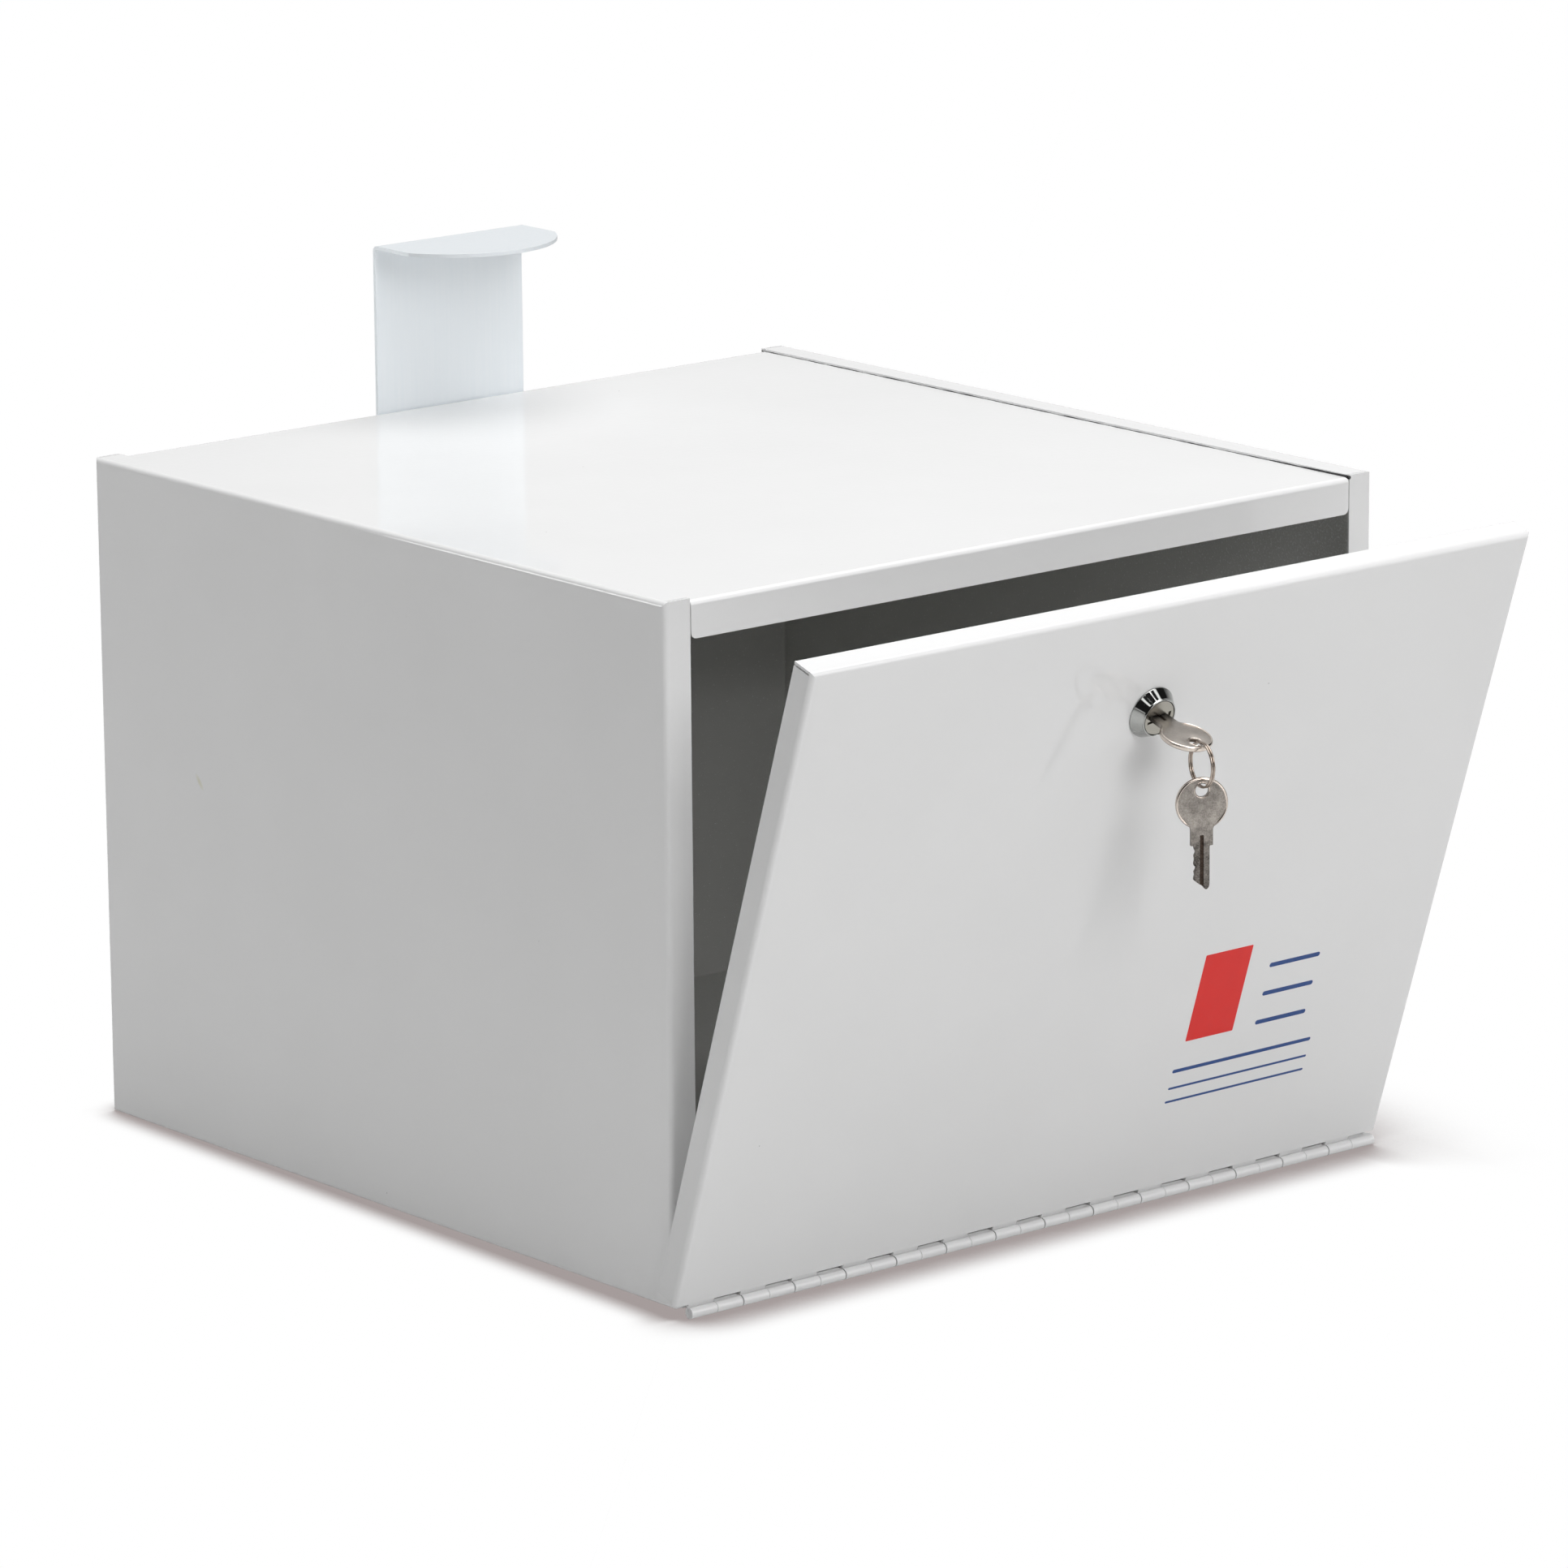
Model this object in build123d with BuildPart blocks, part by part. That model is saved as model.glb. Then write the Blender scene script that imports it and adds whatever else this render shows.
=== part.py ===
from build123d import *
from math import cos, radians, sin, sqrt
import os

# Specimen drop box in white sheet steel. A drop-front door hangs on a continuous hinge under
# the floor's front edge and leans open. It carries a quarter-turn cam lock with its key in,
# and a second key hangs from that key on a split ring. A bare steel strip stands up behind
# the back and turns forward over the top.
# Millimetres. +X is to the right, the front faces -Y and +Z is up. The origin is the centre
# of the floor's upper face.

# Box
box_width = 360.0
box_depth = 362.0
side_height = 272.0
sheet = 1.0
bend = 2.0
side_flange = 12.0
lip_height = 15.6
lip_corner = 2.5
hem_depth = 14.0
wall_hole = 6.5
wall_hole_across = 228.6
wall_hole_up = 152.0

# Hanger strip
strip_width = 76.0
strip_sheet = 1.5
strip_rise = 69.0
strip_reach = 46.5
strip_nose = 42.0
strip_bottom = 49.0
strip_corner = 6.0
rivet = 4.8
rivet_head = 9.0
rivet_dome = 1.2
dome_edge = 0.3
dome_slope = 2.2
rivet_bulb = 7.0
rivet_tail = 2.6
bulb_slope = 0.9

# Continuous hinge
knuckle_pitch = 12.7
hinge_shift = 3.5
leaf_sheet = 1.0
leaf_width = 13.5
barrel = 4.3
pin = 2.2
curl_slit = 0.25

# Door
door_over_side = 2.2
door_flange = 10.6
door_over_top = 1.5
door_foot = 0.9
lean = 17.9

# Cam lock
lock_x = -4.2
lock_below_top = 46.45
lock_barrel = 18.8
lock_flats = 15.9
lock_length = 14.0
bezel_rim = 1.2
bezel_edge = 0.6
bezel_lip = 0.5
bezel_bevel = 0.2
bezel_height = 5.2
plug = 12.5
plug_head_rim = 0.75
plug_face = 5.0
plug_step = 3.2
keyhole_half = 5.5
keyhole_rise = 2.2
keyhole_waist = 1.3
stud = 7.8
stud_flats = 6.0
lock_washer_rim = 3.6
lock_washer_sheet = 1.0
washer_teeth = 14
tooth_depth = 1.5
tooth_gap = 1.6
lock_nut_wall = 2.1
lock_nut_height = 4.0
stop_sheet = 1.2
stop_inner = 7.8
stop_middle = -90.0
stop_half = 20.0
stop_slack = 2.0
lock_quarter = 90.0
cam_sheet = 2.0
cam_reach = 38.0
cam_step_start = 14.0
cam_step_end = 26.0
cam_corner = 4.0
cam_tip_flat = 0.5
cam_width = 14.0
cam_behind_lip = 0.5
spring_washer_sheet = 1.0
cam_nut_wall = 2.6
spring_split = 0.8
cam_nut_height = 4.0
wafer_sheet = 1.0
wafer_width = 5.0
wafer_pitch = 2.4
wafer_throw = 1.3

# Keys and ring
key_sheet = 2.0
key_bow = 20.4
key_hole = 5.1
hole_offset = 5.2
bow_rim = 1.3
bow_field = 0.2
hole_boss = 1.0
neck_overlap = 8.0
key_groove = 1.4
groove_depth = 0.45
key_cuts = (0.4, 1.1, 0.7, 1.4, 0.5)
cut_half = 0.6
cut_over = 0.5
key_recess = 0.6
shoulder_width = 8.9
blade_width = 6.1
blade_length = 17.0
tip_half = 0.9
tip_near = 2.2
tip_far = 3.2
tip_round = 0.6
bow_distance = 16.2
ring_size = 18.0
ring_wire = 0.9
ring_pitch = 1.35
ring_yaw = 7.0
ring_crossing = 190.0
ring_end = 25.0
ring_forward = 1.0
ring_lift = 0.2
spare_turn = 28.0
spare_drop = 1.4

# Small gaps: a running fit, a loose fit, a key's play, a lap between sheets, and slits
fit = 0.05
loose = 0.15
play = 0.2
lap = 0.3
slit = 0.7
knuckle_gap = 0.3

# Where the sheets lie
top = side_height - 2 * sheet
roof = top - sheet
back = box_depth / 2
front = -box_depth / 2
inside_width = box_width - 2 * bend - 0.2
mouth_width = box_width - 2 * side_flange - 0.8
lip_bottom = top - lip_height
strip_top = top + strip_rise
rivet_spots = [(x, z) for x in (-22, 22) for z in (strip_bottom + 20 - top / 2, top / 2 - 30)]
back_outside = Plane(origin=(0, back - sheet, top / 2), x_dir=(-1, 0, 0), z_dir=(0, 1, 0))

# The hinge axis lies below the floor and in front of the box, so that the barrel clears both
hinge_y = front - barrel / 2 - 0.2
hinge_z = -2 * sheet - barrel / 2
door_width = box_width + 2 * door_over_side
knuckles = 2 * round((box_width - 4.4) / knuckle_pitch / 2)
hinge_length = knuckles * knuckle_pitch
hinge_left = hinge_shift - hinge_length / 2
leaf_length = min(hinge_length, door_width / 2 - bend - 0.1 - hinge_left)
leaf_face = barrel / 2 - leaf_sheet
notch = barrel / 2 + 1.75

# Door planes: one across the door, one on its face, both through the hinge axis and leaning
hinge_point = (0, hinge_y, hinge_z)
outward = (0, -cos(radians(lean)), -sin(radians(lean)))
door_section = Plane(origin=hinge_point, x_dir=(0, -outward[1], -outward[2]), z_dir=(1, 0, 0))
door_front = Plane(origin=hinge_point, x_dir=(1, 0, 0), z_dir=outward)
face = leaf_face - sheet
door_bottom = barrel / 2 + 2.05
door_top = top + door_over_top - hinge_z
lock_height = door_top - lock_below_top
door_face = door_front.offset(-face)

# Lock planes: distances forward of the door's face are positive
lock_point = door_face.from_local_coords((lock_x, lock_height, 0))
lock_front = Plane(origin=lock_point, x_dir=(1, 0, 0), z_dir=outward)
lock_section = Plane(origin=lock_point, x_dir=(1, 0, 0), z_dir=(0, -outward[2], outward[1]))
lock_axis = Axis(lock_point, outward)
plug_head = plug + 2 * plug_head_rim
bezel_front = plug_head + 2 * bezel_lip
bezel_base = lock_barrel + 2 * bezel_rim
lock_washer_size = lock_barrel + 2 * lock_washer_rim
lock_nut_flats = lock_barrel + 2 * lock_nut_wall
cam_nut_flats = stud + 2 * cam_nut_wall
plug_end = -lock_length - fit
cam_root = plug_end - stop_sheet
stud_end = cam_root - cam_sheet - spring_washer_sheet - cam_nut_height - 1.0
lip_inside = front + sheet - hinge_y - face
cam_tip = -lip_inside - cam_behind_lip
key_stop = plug_face - key_recess
wafer_first = key_stop - 2.8
wafer_spots = [wafer_first - number * wafer_pitch for number in range(len(key_cuts))]

# The ring hangs from the web between the lock key's hole and its rim
ring_radius = (ring_size - ring_wire) / 2
ring_span = 360 - 2 * ring_end
hole_edge = key_stop + bow_distance + hole_offset + key_hole / 2
web_corner = lock_front.from_local_coords((0, key_sheet / 2, hole_edge))
ring_hang = ring_radius - ring_wire / 2 - lap - ring_lift
ring_middle = web_corner - Vector(0, ring_forward, ring_hang)
ring_back = (sin(radians(ring_yaw)), cos(radians(ring_yaw)), 0)
ring_plane = Plane(origin=ring_middle, x_dir=ring_back, z_dir=(ring_back[1], -ring_back[0], 0))
spare_hole = ring_middle - Vector(0, 0, ring_radius - spare_drop + key_hole / 2)


def spoke(angle):
    """A point well outside the lock's barrel at an angle."""
    return (lock_barrel * cos(radians(angle)), lock_barrel * sin(radians(angle)))


def side_panel(side):
    """A pan with its web outside and four flanges inwards; side is -1 for left, 1 for right."""
    with BuildPart() as panel:
        with BuildSketch(Plane.YZ.offset(side * box_width / 2)):
            with Locations((0, top - side_height / 2)):
                Rectangle(box_depth, side_height)
        extrude(amount=-side * side_flange)
        across = panel.faces().sort_by(Axis.X)
        web, open_face = (across[-1], across[0]) if side > 0 else (across[0], across[-1])
        fillet(web.edges(), bend)
        offset(amount=-sheet, openings=open_face)
        slit_length = side_flange - bend
        slit_x = side * (box_width / 2 - bend - slit_length / 2)
        with Locations(
            *[
                (slit_x, y * (back - sheet - slit / 2), z)
                for y in (-1, 1)
                for z in (top - sheet / 2, top - side_height + sheet / 2)
            ]
        ):
            Box(slit_length, slit, sheet, mode=Mode.SUBTRACT)
    return panel.part


left_side_panel = side_panel(-1)
right_side_panel = side_panel(1)

# One sheet makes the front lip, top, back and floor, and its front edge is folded under
with BuildPart() as wrapper:
    with BuildSketch(Plane.YZ):
        with BuildLine():
            FilletPolyline(
                (front, top - lip_height),
                (front, roof),
                (back - sheet, roof),
                (back - sheet, -sheet),
                (front + sheet, -sheet),
                radius=bend,
            )
            offset(amount=sheet, side=Side.RIGHT)
        make_face()
    extrude(amount=inside_width / 2, both=True)
    with BuildSketch(Plane.YZ):
        with Locations((front + sheet, -sheet)):
            Circle(sheet)
        with Locations((front + sheet, -1.5 * sheet)):
            Rectangle(hem_depth - sheet, sheet, align=(Align.MIN, Align.CENTER))
    extrude(amount=mouth_width / 2, both=True)
    # The sides' front flanges stand in notches, and the lip and hem lie between them
    notch_width = (inside_width - mouth_width) / 2 + 1
    notch_x = (mouth_width + notch_width) / 2
    with Locations((-notch_x, front, top / 2), (notch_x, front, top / 2)):
        Box(notch_width, 2 * (sheet + lap), side_height + 20, mode=Mode.SUBTRACT)
    across_mouth = wrapper.edges().filter_by(Axis.Y)
    fillet(across_mouth.filter_by_position(Axis.Z, lip_bottom - 0.1, lip_bottom + 0.1), lip_corner)
    with BuildSketch(back_outside):
        with GridLocations(wall_hole_across, wall_hole_up, 2, 2):
            Circle(wall_hole / 2)
    extrude(amount=-2 * sheet, mode=Mode.SUBTRACT)
    with BuildSketch(back_outside):
        with Locations(*rivet_spots):
            Circle(rivet / 2 + fit)
    extrude(amount=-2 * sheet, mode=Mode.SUBTRACT)

# The hanger strip lies on the back between the rear flanges and turns forward over the top
with BuildPart() as hanger_strip:
    strip_back = back - sheet + strip_sheet
    nose_y = back - sheet - strip_reach
    nose_side = nose_y + strip_nose - sqrt(strip_nose**2 - (strip_width / 2) ** 2)
    with BuildSketch(Plane.YZ):
        with BuildLine():
            FilletPolyline(
                (strip_back, strip_bottom),
                (strip_back, strip_top),
                (nose_y, strip_top),
                radius=strip_sheet + 1.0,
            )
            offset(amount=strip_sheet, side=Side.LEFT)
        make_face()
    extrude(amount=strip_width / 2, both=True)
    with BuildSketch(Plane.XY.offset(strip_bottom)):
        with BuildLine():
            Polyline(
                (-strip_width / 2, nose_side),
                (-strip_width / 2, back + strip_sheet),
                (strip_width / 2, back + strip_sheet),
                (strip_width / 2, nose_side),
            )
            ThreePointArc((strip_width / 2, nose_side), (0, nose_y), (-strip_width / 2, nose_side))
        make_face()
    extrude(amount=strip_top - strip_bottom, mode=Mode.INTERSECT)
    low_corners = hanger_strip.edges().filter_by(Axis.Y).group_by(Axis.Z)[0]
    fillet(low_corners, strip_corner)
    with BuildSketch(back_outside):
        with Locations(*rivet_spots):
            Circle(rivet / 2 + fit)
    extrude(amount=strip_sheet, mode=Mode.SUBTRACT)

# Each blind rivet has a low dome behind the strip and a bulb inside the box
with BuildPart() as strip_rivets:
    with BuildSketch(back_outside.offset(strip_sheet)):
        with Locations(*rivet_spots):
            Circle(rivet_head / 2)
    extrude(amount=rivet_dome)
    with BuildSketch(back_outside.offset(-sheet)):
        with Locations(*rivet_spots):
            Circle(rivet_bulb / 2)
    extrude(amount=-rivet_tail)
    with BuildSketch(back_outside.offset(strip_sheet)):
        with Locations(*rivet_spots):
            Circle(rivet / 2)
    extrude(amount=-strip_sheet - sheet)
    rims = strip_rivets.edges().filter_by(GeomType.CIRCLE).group_by(Axis.Y)
    chamfer(rims[-1], rivet_dome - dome_edge, length2=dome_slope)
    chamfer(rims[0], bulb_slope)


def hinge_leaf(section, way, first):
    """A leaf and every other knuckle. In the section, x runs from the pin to the leaf and y
    along it; way is 1 where the section faces +X and -1 where it faces -X."""
    starts = [
        hinge_left + number * knuckle_pitch + knuckle_gap / 2
        for number in range(first, knuckles, 2)
    ]
    with BuildPart() as leaf:
        with BuildSketch(section.offset(way * hinge_left)):
            with Locations((leaf_face, notch)):
                Rectangle(leaf_sheet, leaf_width - notch, align=(Align.MIN, Align.MIN))
        extrude(amount=way * leaf_length)
        # The curl ends in a narrow slit beside the flat
        with BuildSketch(*[section.offset(way * start) for start in starts]):
            Circle(barrel / 2)
            Circle(pin / 2 + fit, mode=Mode.SUBTRACT)
            with Locations((leaf_face - curl_slit, 0)):
                Rectangle(barrel, barrel, align=(Align.MIN, Align.MIN), mode=Mode.SUBTRACT)
            with Locations((leaf_face, 0)):
                Rectangle(leaf_sheet, notch, align=(Align.MIN, Align.MIN))
        extrude(amount=way * (knuckle_pitch - knuckle_gap))
    return leaf.part


# The door's leaf is behind its face, and the box's leaf lies flat under the floor
hinge_door_leaf = hinge_leaf(door_section, 1, 0)
floor_section = Plane(origin=hinge_point, x_dir=(0, 0, 1), z_dir=(-1, 0, 0))
hinge_body_leaf = hinge_leaf(floor_section, -1, 1)

with BuildPart() as hinge_pin:
    with BuildSketch(door_section.offset(hinge_left + knuckle_gap)):
        Circle(pin / 2)
    extrude(amount=hinge_length - 2 * knuckle_gap)

# The door is a pan, open at the bottom, whose top flange laps over the side flanges
with BuildPart() as door_panel:
    with BuildSketch(door_face):
        with Locations((0, (door_bottom + door_top) / 2)):
            Rectangle(door_width, door_top - door_bottom)
    extrude(amount=-door_flange)
    up_door = Axis(hinge_point, door_front.y_dir)
    out_of_door = Axis(hinge_point, outward)
    through = door_panel.faces().sort_by(out_of_door)
    fillet(through[-1].edges().sort_by(up_door)[1:], bend)
    rear_opening = door_panel.faces().sort_by(out_of_door)[0]
    low_opening = door_panel.faces().sort_by(up_door)[0]
    offset(amount=-sheet, openings=[rear_opening, low_opening])
    flange_x = (door_width - sheet) / 2
    with BuildSketch(door_face.offset(-bend)):
        with Locations((-flange_x, door_top - sheet), (flange_x, door_top - sheet)):
            Rectangle(sheet, slit, align=(Align.CENTER, Align.MAX))
        with Locations((-flange_x, door_bottom), (flange_x, door_bottom)):
            Rectangle(sheet, door_foot, align=(Align.CENTER, Align.MIN))
    extrude(amount=-door_flange, mode=Mode.SUBTRACT)
    with BuildSketch(lock_front):
        Circle(lock_barrel / 2 + loose)
        Rectangle(lock_flats + 2 * loose, lock_barrel * 2, mode=Mode.INTERSECT)
    extrude(amount=-2 * sheet, mode=Mode.SUBTRACT)

# Lock housing: a conical bezel in front of the door and a flatted barrel through it
with BuildPart() as lock_housing:
    with BuildSketch(lock_section):
        with BuildLine():
            Polyline(
                (plug / 2 + fit, -lock_length),
                (lock_barrel / 2, -lock_length),
                (lock_barrel / 2, 0),
                (bezel_base / 2, 0),
                (bezel_base / 2, bezel_edge),
                (bezel_front / 2 + bezel_bevel, bezel_height - bezel_bevel),
                (bezel_front / 2, bezel_height),
                (plug_head / 2 + fit, bezel_height),
                (plug_head / 2 + fit, plug_step),
                (plug / 2 + fit, plug_step),
                close=True,
            )
        make_face()
    revolve(axis=lock_axis)
    with BuildSketch(lock_front):
        with Locations((-lock_barrel, 0), (lock_barrel, 0)):
            Rectangle(2 * lock_barrel - lock_flats, 2 * lock_barrel)
    extrude(amount=-lock_length, mode=Mode.SUBTRACT)
    # Two grooves in the bore take the wafers' ends when the plug is turned and the key is out
    with BuildSketch(lock_front.offset(wafer_first + wafer_sheet)):
        Rectangle(wafer_width + 3 * play, plug + 2 * wafer_throw)
        Circle(plug / 2, mode=Mode.SUBTRACT)
    extrude(amount=-lock_length - wafer_first - wafer_sheet, mode=Mode.SUBTRACT)
    with BuildSketch(lock_front.offset(-lock_length)):
        Circle(lock_barrel / 2)
        Circle(stop_inner, mode=Mode.SUBTRACT)
        with BuildLine():
            Polyline((0, 0), spoke(stop_middle - stop_half), spoke(stop_middle + stop_half), close=True)
        make_face(mode=Mode.INTERSECT)
    extrude(amount=-stop_sheet)

with BuildPart() as lock_washer:
    with BuildSketch(lock_front.offset(-sheet)):
        Circle(lock_washer_size / 2)
        Circle(lock_barrel / 2 + loose, mode=Mode.SUBTRACT)
        with PolarLocations(lock_washer_size / 2, washer_teeth):
            Rectangle(2 * tooth_depth, tooth_gap, mode=Mode.SUBTRACT)
    extrude(amount=-lock_washer_sheet)

with BuildPart() as lock_nut:
    with BuildSketch(lock_front.offset(-sheet - lock_washer_sheet)):
        RegularPolygon(lock_nut_flats / 2, 6, major_radius=False)
        Circle(lock_barrel / 2 + fit, mode=Mode.SUBTRACT)
    extrude(amount=-lock_nut_height)

# The plug turns in the housing: a head in front, wafer slots, and a flatted stud behind
with BuildPart() as lock_plug:
    with BuildSketch(lock_section):
        with BuildLine():
            Polyline(
                (0, plug_face),
                (plug_head / 2, plug_face),
                (plug_head / 2, plug_step + fit),
                (plug / 2, plug_step + fit),
                (plug / 2, plug_end),
                (stud / 2, plug_end),
                (stud / 2, stud_end),
                (0, stud_end),
                close=True,
            )
        make_face()
    revolve(axis=lock_axis)
    with BuildSketch(lock_front.offset(plug_end)):
        with Locations((0, -stud), (0, stud)):
            Rectangle(2 * stud, 2 * stud - stud_flats)
    extrude(amount=stud_end - plug_end, mode=Mode.SUBTRACT)
    # The keyway has a ward on each side, and opens in a shallow bow-tie recess
    with BuildSketch(lock_front.offset(plug_face)):
        Rectangle(blade_width + 2 * play, key_sheet + play)
        with Locations((0, -(key_sheet + play) / 2), (0, (key_sheet + play) / 2)):
            Rectangle(key_groove - 2 * play, 2 * (groove_depth - play / 2), mode=Mode.SUBTRACT)
    extrude(amount=key_stop - blade_length - 3 * play - plug_face, mode=Mode.SUBTRACT)
    with BuildSketch(lock_front.offset(plug_face)):
        with BuildLine():
            Polyline(
                (-keyhole_half, -keyhole_rise),
                (0, -keyhole_waist),
                (keyhole_half, -keyhole_rise),
                (keyhole_half, keyhole_rise),
                (0, keyhole_waist),
                (-keyhole_half, keyhole_rise),
                close=True,
            )
        make_face()
    extrude(amount=key_stop - plug_face, mode=Mode.SUBTRACT)
    with BuildSketch(*[lock_front.offset(spot + wafer_sheet / 2 + fit) for spot in wafer_spots]):
        Rectangle(2 * plug, wafer_width + play)
    extrude(amount=-wafer_sheet - 2 * fit, mode=Mode.SUBTRACT)

# The disc tumblers, level with the plug, round the key's blade
with BuildPart() as lock_wafers:
    with BuildSketch(*[lock_front.offset(spot + wafer_sheet / 2) for spot in wafer_spots]):
        Circle(plug / 2 - fit)
        Rectangle(2 * plug, wafer_width, mode=Mode.INTERSECT)
        Rectangle(blade_width + 2 * play, key_sheet + 2 * play, mode=Mode.SUBTRACT)
    extrude(amount=-wafer_sheet)

# The stop washer turns with the stud, and its cut-out lets the housing's lug through a quarter
stop_cut = lock_quarter + 2 * stop_half + 2 * stop_slack
with BuildPart() as stop_washer:
    with BuildSketch(lock_front.offset(plug_end)):
        Circle(lock_barrel / 2 - 2 * play)
        with BuildLine():
            Polyline(
                (0, 0),
                *[
                    spoke(stop_middle - stop_half - stop_slack + turn * stop_cut / 4)
                    for turn in range(5)
                ],
                close=True,
            )
        make_face(mode=Mode.SUBTRACT)
        Circle(stop_inner - 2 * play)
    extrude(amount=-stop_sheet)
    with BuildSketch(lock_front.offset(plug_end)):
        Circle(stud / 2 + fit)
        Rectangle(2 * stud, stud_flats + 2 * fit, mode=Mode.INTERSECT)
    extrude(amount=-stop_sheet, mode=Mode.SUBTRACT)

# The cam steps forward so that its end passes just behind the box's front lip
with BuildPart() as lock_cam:
    with BuildSketch(lock_section):
        with BuildLine():
            FilletPolyline(
                (cam_width / 2, cam_root),
                (-cam_step_start, cam_root),
                (-cam_step_end, cam_tip),
                (-cam_reach, cam_tip),
                radius=cam_sheet + 1.0,
            )
            offset(amount=cam_sheet, side=Side.LEFT)
        make_face()
    extrude(amount=cam_width / 2, both=True)
    through_cam = lock_cam.edges().filter_by(out_of_door)
    fillet(through_cam.group_by(Axis.X)[0], cam_corner)
    fillet(through_cam.group_by(Axis.X)[-1], cam_width / 2 - cam_tip_flat)
    with BuildSketch(lock_front.offset(cam_root)):
        Circle(stud / 2 + fit)
        Rectangle(2 * stud, stud_flats + 2 * fit, mode=Mode.INTERSECT)
    extrude(amount=-cam_sheet, mode=Mode.SUBTRACT)

with BuildPart() as cam_spring_washer:
    with BuildSketch(lock_front.offset(cam_root - cam_sheet)):
        Circle(cam_nut_flats / 2)
        Circle(stud / 2 + loose, mode=Mode.SUBTRACT)
        with Locations((cam_nut_flats / 2, 0)):
            Rectangle(cam_nut_flats, spring_split, mode=Mode.SUBTRACT)
    extrude(amount=-spring_washer_sheet)

with BuildPart() as cam_nut:
    with BuildSketch(lock_front.offset(cam_root - cam_sheet - spring_washer_sheet)):
        RegularPolygon(cam_nut_flats / 2, 6, major_radius=False)
        Circle(stud / 2 + fit, mode=Mode.SUBTRACT)
    extrude(amount=-cam_nut_height)


def cut_key(sheet_plane):
    """A flat key. The plane's origin is at the shoulder's stop and its y runs to the bow."""
    with BuildPart() as key:
        with BuildSketch(sheet_plane):
            Rectangle(shoulder_width, bow_distance - neck_overlap, align=(Align.CENTER, Align.MIN))
            with Locations((0, bow_distance)):
                Circle(key_bow / 2)
            with Locations((0, bow_distance + hole_offset)):
                Circle(key_hole / 2, mode=Mode.SUBTRACT)
            with BuildLine():
                FilletPolyline(
                    (-blade_width / 2, tip_round),
                    (-blade_width / 2, tip_near - blade_length),
                    (-tip_half, -blade_length),
                    (tip_half, -blade_length),
                    (blade_width / 2, tip_far - blade_length),
                    (blade_width / 2, tip_round),
                    radius=tip_round,
                    close=True,
                )
            make_face()
            for spot, depth in zip(wafer_spots, key_cuts):
                low = spot - key_stop
                edge = depth - blade_width / 2
                flank = depth + cut_over
                with BuildLine():
                    Polyline(
                        (edge, low - cut_half),
                        (edge, low + cut_half),
                        (edge - flank, low + cut_half + flank),
                        (edge - flank, low - cut_half - flank),
                        close=True,
                    )
                make_face(mode=Mode.SUBTRACT)
        extrude(amount=key_sheet / 2, both=True)
        # Both faces: a sunk field in the bow, and a groove along the blade
        for facing in (-1, 1):
            with BuildSketch(sheet_plane.offset(facing * key_sheet / 2)):
                with Locations((0, bow_distance)):
                    Circle(key_bow / 2 - bow_rim)
                with Locations((0, bow_distance + hole_offset)):
                    Circle(key_hole / 2 + hole_boss, mode=Mode.SUBTRACT)
            extrude(amount=-facing * bow_field, mode=Mode.SUBTRACT)
            with BuildSketch(sheet_plane.offset(facing * key_sheet / 2)):
                Rectangle(key_groove, blade_length, align=(Align.CENTER, Align.MAX))
            extrude(amount=-facing * groove_depth, mode=Mode.SUBTRACT)
    return key.part


lock_key = cut_key(
    Plane(
        origin=lock_front.from_local_coords((0, 0, key_stop)),
        x_dir=(1, 0, 0),
        z_dir=lock_section.z_dir,
    )
)


def joined_arcs(start, start_way, end, end_way):
    """Two arcs from start to end that leave and arrive along the two ways."""
    chord = end - start
    both_ways = start_way + end_way
    along = chord.dot(both_ways)
    spread = 2 * (1 - start_way.dot(end_way))
    reach = (sqrt(along**2 + spread * chord.dot(chord)) - along) / spread
    near = start + start_way * reach
    far = end - end_way * reach
    middle = (near + far) / 2
    TangentArc(start, middle, tangent=start_way)
    TangentArc(middle, end, tangent=far - near)


def ring_node(angle, step):
    """A point on the ring's centre line and the way the wire runs there."""
    turn = radians(angle + ring_crossing)
    across = ring_plane.z_dir * step
    back_way = ring_plane.x_dir
    up_way = ring_plane.y_dir
    point = ring_plane.origin + back_way * ring_radius * cos(turn) + up_way * ring_radius * sin(turn)
    return point + across, up_way * cos(turn) - back_way * sin(turn)


# Two flat turns side by side, joined by one short slanting crossing between the wire's ends
ring_nodes = [ring_node(ring_end + turn * ring_span / 4, -ring_pitch / 2) for turn in range(5)]
ring_nodes += [
    ring_node(360 + ring_end + turn * ring_span / 4, ring_pitch / 2) for turn in range(5)
]
with BuildPart() as split_ring:
    with BuildLine() as ring_line:
        for (start, start_way), (end, end_way) in zip(ring_nodes, ring_nodes[1:]):
            joined_arcs(start, start_way, end, end_way)
    with BuildSketch(Plane(origin=ring_nodes[0][0], z_dir=ring_nodes[0][1])):
        Circle(ring_wire / 2)
    sweep(path=ring_line.wire())

# The wire's least gap to itself, between points more than a few wires apart along it
samples = 400
ring_path = ring_line.wire()
ring_points = [ring_path @ (number / samples) for number in range(samples + 1)]
spacing = ring_path.length / samples
apart = int(5 * ring_wire / spacing)
ring_gap = min(
    (ring_points[first] - ring_points[second]).length - ring_wire
    for first in range(samples)
    for second in range(first + apart, samples + 1)
)
print("split ring's least gap to itself", round(ring_gap, 3), "mm")

spare_key = cut_key(
    Plane(
        origin=spare_hole - Vector(0, 0, bow_distance + hole_offset),
        x_dir=(cos(radians(spare_turn)), -sin(radians(spare_turn)), 0),
        z_dir=(-sin(radians(spare_turn)), -cos(radians(spare_turn)), 0),
    )
)

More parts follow.
